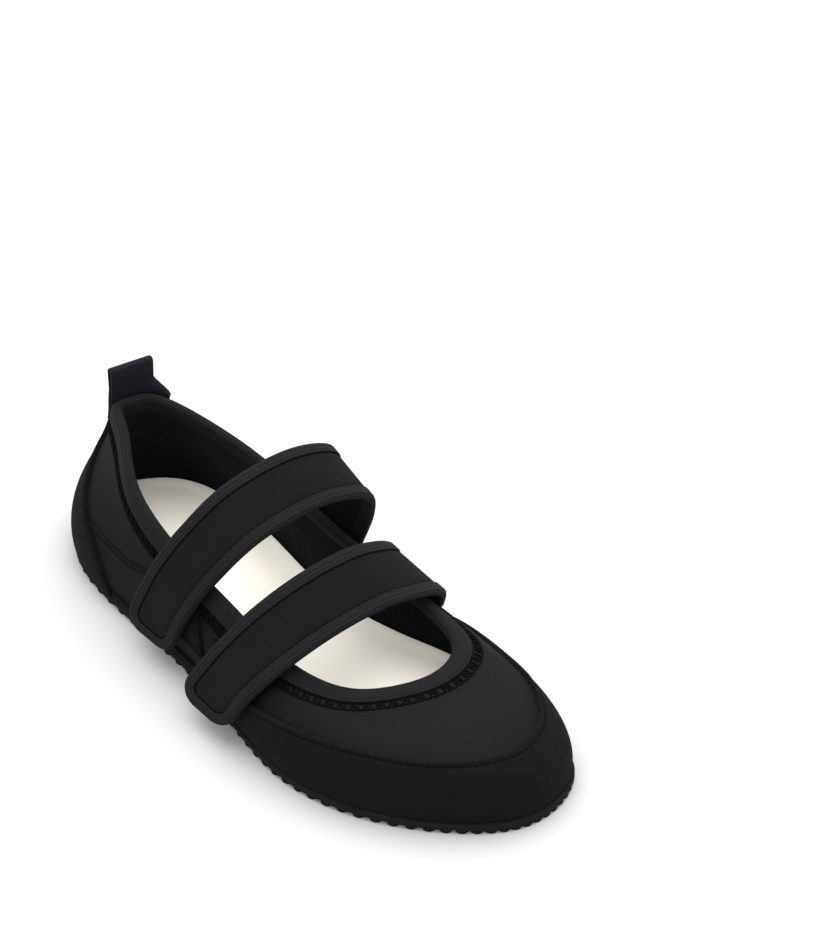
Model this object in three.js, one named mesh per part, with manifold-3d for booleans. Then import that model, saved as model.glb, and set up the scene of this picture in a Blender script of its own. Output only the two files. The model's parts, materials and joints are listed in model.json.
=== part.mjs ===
// Two-strap slip-on shoe in the ballet-flat style, right foot.
// Millimetres. +X runs from heel to toe, -Y is the outer (little toe) side, +Y the inner side, +Z up.
// The origin is on the floor, under the middle of the shoe's box, straps closed.
import * as THREE from "three";
import Module from "manifold-3d";

const wasm = await Module();
wasm.setup();

// ---- Sizes that can each be changed on their own -------------------------------------------------
const last_length = 242;         // heel to toe along the line where the upper meets the sole
const last_width = 90;           // across the ball of the foot on the same line
const collar_height = 59;        // top line at the back of the heel, above the sole
const outsole_thickness = 4.3;   // rubber, lugs included
const lug_depth = 1.7;           // how far the lugs stand below the rubber plate
const edge_lugs = 92;            // small lugs in the row round the edge
const edge_lug_radius = 2.5;
const edge_lug_inset = 0.15;     // from the outsole's edge to the lug
const middle_lug_radius = 3.6;
const middle_lug_rows = [0.12, 0.26, 0.62, 0.74, 0.86];
const middle_lug_sides = [-0.13, 0.16];
const heel_overhang = 0.6;       // outsole edge beyond the upper, at the heel
const toe_overhang = 2.6;        // and at the toe
const panel_thickness = 1.2;     // smooth stretch panels of the vamp and quarters
const lining_thickness = 0.9;    // woven lining
const overlay_thickness = 1.2;   // suede-like rand, counter and foxing
const board_thickness = 0.8;       // insole board
const foam_thickness = 1;        // footbed foam
const cover_thickness = 0.8;     // footbed top cover
const collar_tape = 0.9;         // thickness of the folded collar binding
const collar_leg = 6;            // how far the collar binding reaches down the outside
const strap_width = 27.5;
const strap_lining = 0.5;
const strap_shell = 0.7;
const strap_tape = 0.5;          // thickness of the tape bound round the strap edge
const strap_tape_leg = 5;        // how far that tape reaches in from the edge
const tip_radius = 9.5;          // rounding of the strap's two free corners
const hook_thickness = 0.7;      // hook half of the fastener, under the strap tip
const loop_thickness = 1;        // loop half, on the outer quarter
const tab_width = 18;            // pull tab webbing
const tab_thickness = 0.9;
const tab_base = 1.2;            // where the loop leaves its two sewn legs, above the top line
const tab_height = 13.2;         // how far the loop stands above that
const tab_lean = 0.04;           // how far it leans back for each millimetre of height
const tab_bulge = 0.7;           // how far each layer bows out at the top of the loop
const tab_aside = 2.4;           // towards the inner side from the middle of the heel
const tab_turn = 8;              // degrees the loop turns with the heel there
const tab_outer_reach = 13;      // how far the outer leg is sewn down below the top line
const tab_inner_reach = 10;
const fit_gap = 0.3;             // clearance between pieces that touch on the real shoe
const layer_gap = 0.55;          // clearance between curved layers that lie on each other
const strap_gap = 0.45;          // clearance between the layers of a strap
const strap_ease = 0.3;          // extra room for the wall's bulge between the two strap edges

// ---- Heights and depths that follow from the sizes above -----------------------------------------
const feather_height = outsole_thickness + fit_gap;
const lining_outer = -panel_thickness - layer_gap;
const lining_inner = lining_outer - lining_thickness;
const overlay_inner = layer_gap;
const overlay_outer = layer_gap + overlay_thickness;
const loop_outer = layer_gap + loop_thickness;
const footbed_inset = fit_gap - lining_inner;
const tape_under = -fit_gap - strap_tape;
const shell_inner = strap_lining + strap_gap;
const shell_outer = shell_inner + strap_shell;
const tape_over = shell_outer + strap_gap + strap_tape;
const hook_inner = -fit_gap - hook_thickness;
const fastener_stack = loop_outer + layer_gap - hook_inner;
const binding_stack = collar_tape + 2 * layer_gap - tape_under;
const outer_standoff = Math.max(fastener_stack, binding_stack) + strap_ease;
const inner_standoff = binding_stack + strap_ease / 2;

// ---- The shape of the foot: seventeen stations once round the shoe --------------------------------
// Each station joins a point on the sole line to a point on the top line with a bulging curve.
// Lengths are fractions of last_length, widths of last_width and heights of collar_height.
// Order round the loop: heel back, outer side, toe, inner side.
// [sole x, sole y, top x, top y, top z, belly, rise, lean, drop]
const stations = [
  [0.002, 0.000, 0.056, 0.000, 0.975, 0.040, 0.37, 0.004, 0.37],
  [0.023, -0.217, 0.060, -0.094, 0.985, 0.051, 0.37, 0.008, 0.34],
  [0.116, -0.383, 0.122, -0.178, 0.985, 0.058, 0.34, 0.008, 0.27],
  [0.277, -0.422, 0.225, -0.317, 0.880, 0.052, 0.29, 0.012, 0.20],
  [0.438, -0.431, 0.374, -0.363, 0.750, 0.056, 0.27, 0.017, 0.17],
  [0.585, -0.491, 0.504, -0.367, 0.680, 0.067, 0.27, 0.025, 0.14],
  [0.721, -0.511, 0.622, -0.353, 0.605, 0.059, 0.31, 0.050, 0.10],
  [0.855, -0.378, 0.714, -0.256, 0.550, 0.057, 0.37, 0.091, 0.07],
  [0.959, -0.129, 0.760, -0.087, 0.545, 0.058, 0.41, 0.132, 0.03],
  [1.001, 0.117, 0.774, 0.087, 0.545, 0.058, 0.41, 0.140, 0.03],
  [0.977, 0.344, 0.756, 0.240, 0.540, 0.047, 0.37, 0.107, 0.07],
  [0.901, 0.456, 0.695, 0.331, 0.542, 0.028, 0.34, 0.058, 0.10],
  [0.736, 0.489, 0.557, 0.331, 0.595, 0.022, 0.31, 0.033, 0.14],
  [0.583, 0.374, 0.410, 0.300, 0.680, 0.033, 0.31, 0.017, 0.17],
  [0.428, 0.300, 0.276, 0.283, 0.780, 0.044, 0.34, 0.012, 0.20],
  [0.248, 0.344, 0.155, 0.209, 0.880, 0.047, 0.37, 0.008, 0.27],
  [0.072, 0.289, 0.074, 0.103, 0.960, 0.047, 0.37, 0.008, 0.34],
];
const loop = stations.length;

// ---- Where each seam runs, in stations round the loop and in height from sole (0) to top (1) ------
const vamp_start = 5.05;
const vamp_end = 12.2;
const outer_seam = [[1.7, 0.32], [2.1, 0.35], [2.5, 0.38], [3.0, 0.43], [3.4, 0.54], [3.8, 0.74], [4.1, 1.0]];
const inner_seam = outer_seam.map(([s, v]) => [loop - s, v]).reverse();
const rand_start = 4.75;
const rand_end = 14.28;
const rand_edge = [
  [4.75, 0.3], [5.5, 0.42], [6.4, 0.52], [7.1, 0.55], [8, 0.5], [9, 0.47],
  [9.7, 0.49], [10.3, 0.54], [11.2, 0.56], [12, 0.46], [13, 0.3], [14.28, 0.13],
];
const foxing_edge = 0.11;
const counter_edge = [
  [0.0, 2.66], [0.16, 2.55], [0.26, 2.42], [0.34, 2.25], [0.4, 2.01], [0.5, 1.7],
  [0.62, 1.4], [0.72, 1.17], [0.83, 1.07], [1, 1.07],
];
const loop_patches = { rear: [3.62, 4.42, 0.3, 0.72], front: [4.75, 5.5, 0.46, 0.62] };

// ---- The straps: each lies in a leaning plane and follows the wall at its two sides ---------------
const straps = {
  rear: {
    at: 0.409, lean: 18, yaw: 3, tip_height: 10, peel_height: 35, swing_height: 26, root_height: 17, wall_top: 38,
    arch: [[-0.352, 0.87], [-0.178, 1.14], [0.093, 1.24], [0.325, 1.12], [0.386, 0.89]],
    flare: [2.6, 1.8, 0.8, 0.2, 0],
  },
  front: {
    at: 0.601, lean: 24, yaw: -1, tip_height: 7.7, peel_height: 30, swing_height: 29, root_height: 23, wall_top: 31,
    arch: [[-0.375, 0.735], [-0.165, 0.885], [0.07, 0.905], [0.235, 0.81], [0.347, 0.692]],
    flare: [7.5, 5, 2.4, 0.5, 0],
  },
};

// ---- Curves -----------------------------------------------------------------------------------------
function mix(a, b, t) {
  return a + (b - a) * t;
}

// A closed smooth curve that passes through the given values at whole numbers of s.
function closed_spline(values) {
  const n = values.length;
  let control = values.slice();
  for (let pass = 0; pass < 30; pass += 1) {
    const before = control;
    control = values.map((value, i) => (6 * value - before[(i + n - 1) % n] - before[(i + 1) % n]) / 4);
  }
  return (s) => {
    const wrapped = ((s % n) + n) % n;
    const i = Math.floor(wrapped) % n;
    const f = wrapped - Math.floor(wrapped);
    const g = 1 - f;
    const middle_a = 3 * f ** 3 - 6 * f ** 2 + 4;
    const middle_b = -3 * f ** 3 + 3 * f ** 2 + 3 * f + 1;
    const sum = g ** 3 * control[(i + n - 1) % n] + middle_a * control[i]
      + middle_b * control[(i + 1) % n] + f ** 3 * control[(i + 2) % n];
    return sum / 6;
  };
}

// A smooth open curve through pairs [x, y] with x rising.
function open_spline(pairs) {
  const slope = pairs.map((pair, i) => {
    const a = pairs[Math.max(i - 1, 0)];
    const b = pairs[Math.min(i + 1, pairs.length - 1)];
    return (b[1] - a[1]) / (b[0] - a[0]);
  });
  return (x) => {
    let i = 0;
    while (i < pairs.length - 2 && x > pairs[i + 1][0]) {
      i += 1;
    }
    const width = pairs[i + 1][0] - pairs[i][0];
    const t = Math.min(Math.max((x - pairs[i][0]) / width, 0), 1);
    const rise = pairs[i + 1][1] - pairs[i][1];
    const bend = (1 - t) * (slope[i] * width - rise) - t * (slope[i + 1] * width - rise);
    return mix(pairs[i][1], pairs[i + 1][1], t) + t * (1 - t) * bend;
  };
}

// The value of t between low and high where rising(t) reaches the target.
function solve(rising, target, low, high) {
  let a = low;
  let b = high;
  for (let step = 0; step < 22; step += 1) {
    const middle = (a + b) / 2;
    if (rising(middle) < target) {
      a = middle;
    } else {
      b = middle;
    }
  }
  return (a + b) / 2;
}

// ---- The wall of the shoe -----------------------------------------------------------------------------
const column = stations[0].map((unused, k) => closed_spline(stations.map((row) => row[k])));

function sole_point(s, inset, z) {
  const e = 0.01;
  const x = column[0](s) * last_length;
  const y = column[1](s) * last_width;
  const dx = (column[0](s + e) - column[0](s - e)) * last_length;
  const dy = (column[1](s + e) - column[1](s - e)) * last_width;
  const length = Math.hypot(dx, dy);
  return new THREE.Vector3(x - inset * dy / length, y + inset * dx / length, z);
}

function wall(s, v) {
  const foot = sole_point(s, 0, feather_height);
  const out = sole_point(s, -1, feather_height).sub(foot);
  const rise = column[6](s) * collar_height;
  const drop = column[8](s) * collar_height;
  const low = foot.clone().addScaledVector(out, column[5](s) * last_width).setZ(feather_height + rise);
  const top_z = column[4](s) * collar_height;
  const top = new THREE.Vector3(column[2](s) * last_length, column[3](s) * last_width, top_z);
  const high = top.clone().addScaledVector(out, column[7](s) * last_length);
  high.z -= drop;
  return new THREE.CubicBezierCurve3(foot, low, high, top).getPoint(v);
}

function wall_frame(s, v) {
  const e = 0.004;
  const low = Math.max(v - e, 0);
  const high = Math.min(v + e, 1);
  const up = wall(s, high).sub(wall(s, low)).divideScalar(high - low);
  const round = wall(s + e, v).sub(wall(s - e, v));
  const normal = new THREE.Vector3().crossVectors(round, up).normalize();
  return { point: wall(s, v), normal, up };
}

// A point on the wall, moved out of the surface by depth (negative is towards the foot).
function on_wall(s, v, depth) {
  const frame = wall_frame(s, v);
  const moved = frame.point.addScaledVector(frame.normal, depth);
  return moved.setZ(Math.max(moved.z, feather_height));
}

// The height v that lies a number of millimetres below the top line.
function below_top(s, millimetres) {
  return 1 - millimetres / wall_frame(s, 1).up.length();
}

// The y of a point at a given x and z that stands clear of one side of the shoe by a gap.
function beside(x, z, side, gap) {
  const height = (s) => Math.min(solve((v) => wall(s, v).z, z, 0, 1), 1);
  const sign = side < 0 ? 1 : -1;
  const [low, high] = side < 0 ? [1.6, 7.8] : [10.2, 15.9];
  const s = solve((t) => sign * wall(t, height(t)).x, sign * x, low, high);
  const frame = wall_frame(s, height(s));
  return frame.point.y + side * gap / Math.max(Math.abs(frame.normal.y), 0.5);
}

// ---- Solids ---------------------------------------------------------------------------------------------
function geometry_from(points, faces) {
  let volume = 0;
  faces.forEach(([a, b, c]) => {
    volume += points[a].dot(new THREE.Vector3().crossVectors(points[b], points[c]));
  });
  const ordered = volume > 0 ? faces : faces.map(([a, b, c]) => [a, c, b]);
  const geometry = new THREE.BufferGeometry();
  geometry.setAttribute("position", new THREE.Float32BufferAttribute(points.flatMap((p) => p.toArray()), 3));
  geometry.setIndex(ordered.flat());
  geometry.computeVertexNormals();
  return geometry;
}

// A thin curved plate: place(a, b, side) gives a point for a, b from 0 to 1 and side 0 or 1.
function plate(columns, rows, place) {
  const points = [];
  const faces = [];
  const at = (side, i, j) => (side * (columns + 1) + i) * (rows + 1) + j;
  for (const side of [0, 1]) {
    for (let i = 0; i <= columns; i += 1) {
      for (let j = 0; j <= rows; j += 1) {
        points.push(place(i / columns, j / rows, side));
      }
    }
  }
  const quad = (a, b, c, d) => faces.push([a, b, c], [a, c, d]);
  for (let i = 0; i < columns; i += 1) {
    for (let j = 0; j < rows; j += 1) {
      quad(at(1, i, j), at(1, i + 1, j), at(1, i + 1, j + 1), at(1, i, j + 1));
      quad(at(0, i, j + 1), at(0, i + 1, j + 1), at(0, i + 1, j), at(0, i, j));
    }
    quad(at(0, i, 0), at(0, i + 1, 0), at(1, i + 1, 0), at(1, i, 0));
    quad(at(1, i, rows), at(1, i + 1, rows), at(0, i + 1, rows), at(0, i, rows));
  }
  for (let j = 0; j < rows; j += 1) {
    quad(at(0, 0, j + 1), at(0, 0, j), at(1, 0, j), at(1, 0, j + 1));
    quad(at(0, columns, j), at(0, columns, j + 1), at(1, columns, j + 1), at(1, columns, j));
  }
  return geometry_from(points, faces);
}

// A section carried along a path: place(i, k) gives section point k at path step i.
function sweep(steps, section_size, closed, place) {
  const points = [];
  const faces = [];
  const last = closed ? steps : steps + 1;
  for (let i = 0; i < last; i += 1) {
    for (let k = 0; k < section_size; k += 1) {
      points.push(place(i / steps, k));
    }
  }
  for (let i = 0; i < steps; i += 1) {
    const next = (i + 1) % last;
    for (let k = 0; k < section_size; k += 1) {
      const m = (k + 1) % section_size;
      const [a, b, c, d] = [i, i, next, next].map((row, q) => row * section_size + (q === 0 || q === 3 ? k : m));
      faces.push([a, b, c], [a, c, d]);
    }
  }
  return closed ? geometry_from(points, faces) : capped(points, faces, steps, section_size);
}

// Closes both ends of an open sweep of the eight-point C section used for the strap binding.
function capped(points, faces, steps, size) {
  const cap = [[0, 1, 2], [0, 2, 7], [7, 2, 3], [7, 3, 6], [6, 3, 4], [6, 4, 5]];
  const far = steps * size;
  cap.forEach(([a, b, c]) => {
    faces.push([a, c, b], [far + a, far + b, far + c]);
  });
  return geometry_from(points, faces);
}

function solid_of(geometry) {
  const position = geometry.getAttribute("position").array;
  const keys = new Map();
  const verts = [];
  const index = geometry.getIndex() ? geometry.getIndex().array : position.map((unused, i) => i);
  const count = geometry.getIndex() ? index.length : position.length / 3;
  const tris = [];
  for (let i = 0; i < count; i += 1) {
    const p = (geometry.getIndex() ? index[i] : i) * 3;
    const key = [0, 1, 2].map((k) => Math.round(position[p + k] * 1e4)).join(",");
    if (!keys.has(key)) {
      keys.set(key, keys.size);
      verts.push(position[p], position[p + 1], position[p + 2]);
    }
    tris.push(keys.get(key));
  }
  const kept = [];
  for (let i = 0; i < tris.length; i += 3) {
    const [a, b, c] = tris.slice(i, i + 3);
    if (a !== b && b !== c && a !== c) {
      kept.push(a, b, c);
    }
  }
  const mesh = { numProp: 3, vertProperties: new Float32Array(verts), triVerts: new Uint32Array(kept) };
  return new wasm.Manifold(new wasm.Mesh(mesh));
}

function geometry_of(solid) {
  const mesh = solid.getMesh();
  const geometry = new THREE.BufferGeometry();
  geometry.setAttribute("position", new THREE.BufferAttribute(new Float32Array(mesh.vertProperties), 3));
  geometry.setIndex(Array.from(mesh.triVerts));
  geometry.computeVertexNormals();
  return geometry;
}

const group = new THREE.Group();

function add(name, geometry, color, roughness) {
  const material = new THREE.MeshStandardMaterial({ color, roughness, metalness: 0 });
  const mesh = new THREE.Mesh(geometry, material);
  mesh.name = name;
  group.add(mesh);
}

const color = {
  rubber: 0x1b1b1c, suede: 0x1f1f20, smooth: 0x262627, lining: 0x18191b, tape: 0x29292b,
  board: 0xb9ad97, foam: 0xcfc8b8, cover: 0xded9cf, hook: 0x151516, webbing: 0x12161e,
};

// ---- Sole -------------------------------------------------------------------------------------------------
function overhang(s) {
  return mix(heel_overhang, toe_overhang, Math.min(Math.max(column[0](s), 0), 1));
}

// A flat sheet that follows the sole line, moved in by inset(s).
function flat_layer(inset, low, high) {
  const stops = Array.from({ length: 64 }, (unused, i) => (i * loop) / 64);
  const outline = stops.map((s) => sole_point(s, inset(s), 0));
  const shape = new THREE.Shape(outline.map((p) => new THREE.Vector2(p.x, p.y)));
  const geometry = new THREE.ExtrudeGeometry(shape, { depth: high - low, bevelEnabled: false });
  geometry.translate(0, 0, low);
  return geometry;
}

// The lugs stand in one row round the edge and two rows down the middle.
function lug_places() {
  const places = [];
  for (let i = 0; i < edge_lugs; i += 1) {
    const s = (i * loop) / edge_lugs;
    const inset = edge_lug_radius + edge_lug_inset - overhang(s);
    places.push({ centre: sole_point(s, inset, 0), radius: edge_lug_radius });
  }
  for (const along of middle_lug_rows) {
    for (const across of middle_lug_sides) {
      const centre = new THREE.Vector3(along * last_length, across * last_width, 0);
      places.push({ centre, radius: middle_lug_radius });
    }
  }
  return places;
}

function outsole() {
  let solid = solid_of(flat_layer((s) => -overhang(s), lug_depth, outsole_thickness));
  for (const { centre, radius } of lug_places()) {
    const height = lug_depth * 1.5;
    const lug = new THREE.CylinderGeometry(radius, radius, height, 7);
    lug.rotateX(Math.PI / 2);
    lug.translate(centre.x, centre.y, height / 2);
    solid = solid.add(solid_of(lug));
  }
  return geometry_of(solid);
}

const inner_edge = () => footbed_inset;
const board_low = feather_height + fit_gap;
const foam_low = board_low + board_thickness + fit_gap;
const cover_low = foam_low + foam_thickness + fit_gap;
add("outsole", outsole(), color.rubber, 0.7);
add("insole_board", flat_layer(inner_edge, board_low, board_low + board_thickness), color.board, 0.9);
add("footbed_foam", flat_layer(inner_edge, foam_low, foam_low + foam_thickness), color.foam, 0.9);
add("footbed_cover", flat_layer(inner_edge, cover_low, cover_low + cover_thickness), color.cover, 0.6);

// ---- Upper ------------------------------------------------------------------------------------------------
// A panel between two stations, its lower and upper edges given as functions of the station.
function panel(columns, rows, from, to, lower, upper, inner, outer) {
  return plate(columns, rows, (a, b, side) => {
    const s = mix(from, to, a);
    return on_wall(s, mix(lower(s), upper(s), b), side ? outer : inner);
  });
}

const edge_gap = 0.008;
const floor_edge = () => 0;
const top_edge = (s) => below_top(s, fit_gap);
const outer_seam_height = open_spline(outer_seam);
const inner_seam_height = open_spline(inner_seam);
const seam_end = outer_seam[outer_seam.length - 1][0];

// The rear quarter ends under the heel counter, so its lower edge is cut along a short slope there.
function rear_quarter_edge(side) {
  const drop = [[0.02, 0.0], [1.1, 0.0], [1.7, 0.32 + edge_gap]];
  const along = open_spline(outer_seam);
  const hidden = open_spline(drop);
  return (s) => {
    const reach = side < 0 ? s : loop - s;
    return reach < 1.7 ? Math.max(hidden(reach), 0) : along(reach) + edge_gap;
  };
}

function add_quarter(side, word) {
  const reach = (s) => (side < 0 ? s : loop - s);
  const span = (a, b) => (side < 0 ? [a, b] : [loop - b, loop - a]);
  const rear = span(0.02, seam_end - 0.04);
  const rear_low = rear_quarter_edge(side);
  const rear_top = (s) => Math.max(top_edge(s), rear_low(s) + 0.02);
  const vamp_side = side < 0 ? vamp_start : loop - vamp_end;
  const front = span(1.3, vamp_side - 0.02);
  const front_low = () => 0;
  const front_top = (s) => {
    const r = reach(s);
    if (r >= seam_end) {
      return top_edge(s);
    }
    return Math.min(Math.max(rear_low(s) - 3 * edge_gap, 0.02), top_edge(s));
  };
  const rear_panel = panel(24, 6, rear[0], rear[1], rear_low, rear_top, -panel_thickness, 0);
  const front_panel = panel(20, 6, front[0], front[1], front_low, front_top, -panel_thickness, 0);
  add(`quarter_${word}_rear`, rear_panel, color.smooth, 0.55);
  add(`quarter_${word}_front`, front_panel, color.smooth, 0.55);
}

const vamp_panel = panel(28, 8, vamp_start, vamp_end, floor_edge, top_edge, -panel_thickness, 0);
add("vamp", vamp_panel, color.smooth, 0.55);
add_quarter(-1, "outer");
add_quarter(1, "inner");

const vamp_lining = panel(28, 8, vamp_start, vamp_end, floor_edge, top_edge, lining_inner, lining_outer);
const quarter_lining = panel(
  40, 6, vamp_end + 0.03 - loop, vamp_start - 0.03, floor_edge, top_edge, lining_inner, lining_outer,
);
add("vamp_lining", vamp_lining, color.lining, 0.9);
add("quarter_lining", quarter_lining, color.lining, 0.9);

const rand_top = open_spline(rand_edge);
const rand = panel(46, 5, rand_start, rand_end, floor_edge, rand_top, overlay_inner, overlay_outer);
add("toe_rand", rand, color.suede, 0.95);

function heel_counter() {
  const reach = open_spline(counter_edge);
  return plate(32, 11, (a, b, side) => {
    const s = mix(-reach(b), reach(b), a);
    const v = b * below_top(s, collar_leg + fit_gap);
    return on_wall(s, v, side ? overlay_outer : overlay_inner);
  });
}
add("heel_counter", heel_counter(), color.suede, 0.95);

// A narrow strip low on the outer waist runs from the counter's foot to the rand.
function foxing() {
  const from = counter_edge[0][1] + 0.12;
  const to = rand_start - 0.02;
  const upper = (s) => mix(foxing_edge / 2, foxing_edge, (s - from) / (to - from));
  return panel(8, 1, from, to, floor_edge, upper, overlay_inner, overlay_outer);
}
add("foxing_outer", foxing(), color.suede, 0.95);

for (const [name, [from, to, low, high]] of Object.entries(loop_patches)) {
  add(`${name}_loop_patch`, panel(7, 5, from, to, () => low, () => high, fit_gap, loop_outer), color.hook, 1);
}

// The collar binding is a tape folded over the top line: [millimetres below the top, depth].
function collar_binding() {
  const outside = layer_gap + collar_tape;
  const inside = lining_inner - layer_gap - collar_tape;
  const middle = (outside + inside) / 2;
  const cap = 0.3 + collar_tape;
  const section = [
    [collar_leg, layer_gap], [collar_leg, outside], [0, outside],
    [-cap * 0.8, outside * 0.4], [-cap, middle], [-cap * 0.8, inside - outside * 0.1 + 0.5], [0, inside],
    [collar_leg * 0.8, inside], [collar_leg * 0.8, inside + collar_tape], [0, inside + collar_tape],
    [-0.25, middle], [0, layer_gap],
  ];
  return sweep(60, section.length, true, (a, k) => {
    const s = a * loop;
    const [down, depth] = section[k];
    const frame = wall_frame(s, 1);
    if (down > 0) {
      return on_wall(s, below_top(s, down), depth);
    }
    const lifted = frame.point.addScaledVector(frame.normal, depth);
    return lifted.addScaledVector(frame.up.normalize(), -down);
  });
}
add("collar_binding", collar_binding(), color.tape, 0.8);

// ---- Straps -------------------------------------------------------------------------------------------------
// A strap is a ruled ribbon between its rear and its front edge. Each edge follows the outer wall up
// from the floor, crosses the foot over the arch points and follows the inner wall down.
function strap_surface(strap) {
  const lean = Math.tan(THREE.MathUtils.degToRad(strap.lean));
  const yaw = Math.tan(THREE.MathUtils.degToRad(strap.yaw));
  const width_way = new THREE.Vector3(1, -yaw, -lean).normalize();
  const centre_x = (y, z) => strap.at * last_length + lean * (z - collar_height * 0.75) + yaw * y;
  const inner_levels = [strap.swing_height + 6, strap.root_height, strap.root_height - 10];
  const build_line = (across) => {
    const shift = width_way.clone().multiplyScalar((across - 0.5) * strap_width);
    const outer_x = (z) => centre_x(-0.42 * last_width, z) + shift.x;
    const inner_x = (z) => centre_x(0.36 * last_width, z) + shift.x;
    const clear = (x, z, side) => {
      const standoff = side < 0 ? outer_standoff : inner_standoff;
      return beside(x, Math.max(z, feather_height + 1), side, standoff);
    };
    const points = strap.flare.map((flare, i) => {
      const z = mix(2, strap.wall_top, i / 4) + shift.z;
      const x = outer_x(z - shift.z);
      return new THREE.Vector3(x, clear(x, z, -1) - flare, z);
    });
    // Near the wall the arch takes on part of the wall's own twist across the strap.
    const twist = (side, level) => {
      const x = side < 0 ? outer_x(level) : inner_x(level);
      return clear(x, level + shift.z, side) - clear(x - shift.x, level, side);
    };
    const outer_twist = twist(-1, strap.wall_top);
    const inner_twist = twist(1, inner_levels[0]);
    const share = [0.7 * outer_twist, 0.25 * outer_twist, 0, 0.3 * inner_twist, 0.75 * inner_twist];
    strap.arch.forEach(([across_y, up_z], i) => {
      const y = across_y * last_width;
      const z = up_z * collar_height;
      const point = new THREE.Vector3(centre_x(y, z), y, z).add(shift);
      point.y += share[i];
      points.push(point);
    });
    for (const level of inner_levels) {
      const z = level + shift.z;
      const x = inner_x(z - shift.z);
      points.push(new THREE.Vector3(x, clear(x, z, 1), z));
    }
    return new THREE.CatmullRomCurve3(points, false, "catmullrom", 0.5);
  };
  const rear_line = build_line(0);
  const front_line = build_line(1);
  const point = (across, t) => {
    const held = Math.min(Math.max(t, 0), 1);
    return rear_line.getPoint(held).lerp(front_line.getPoint(held), across);
  };
  const surface = (across, t, depth) => {
    const e = 0.003;
    const along = point(across, t + e).sub(point(across, t - e));
    const wide = point(1, t).sub(point(0, t));
    const normal = new THREE.Vector3().crossVectors(wide, along).normalize();
    return point(across, t).addScaledVector(normal, depth);
  };
  const crown = 7 / 12;
  const outer_t = (across, z) => solve((t) => point(across, t).z, z, 0, crown);
  const inner_t = (across, z) => solve((t) => -point(across, t).z, -z, crown, 1);
  return { surface, outer_t, inner_t, point };
}

// The free end, cut level with the floor and rounded at both corners. Distances are across the strap
// from its rear edge; the result is the height at which the end is reached.
function tip_end(strap, across_mm, inset) {
  const radius = tip_radius - inset;
  const near = Math.min(across_mm, strap_width - across_mm) - inset;
  const low = strap.tip_height + inset;
  if (near >= radius) {
    return low;
  }
  const reach = radius - Math.max(near, 0);
  return low + radius - Math.sqrt(Math.max(radius ** 2 - reach ** 2, 0));
}

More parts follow.
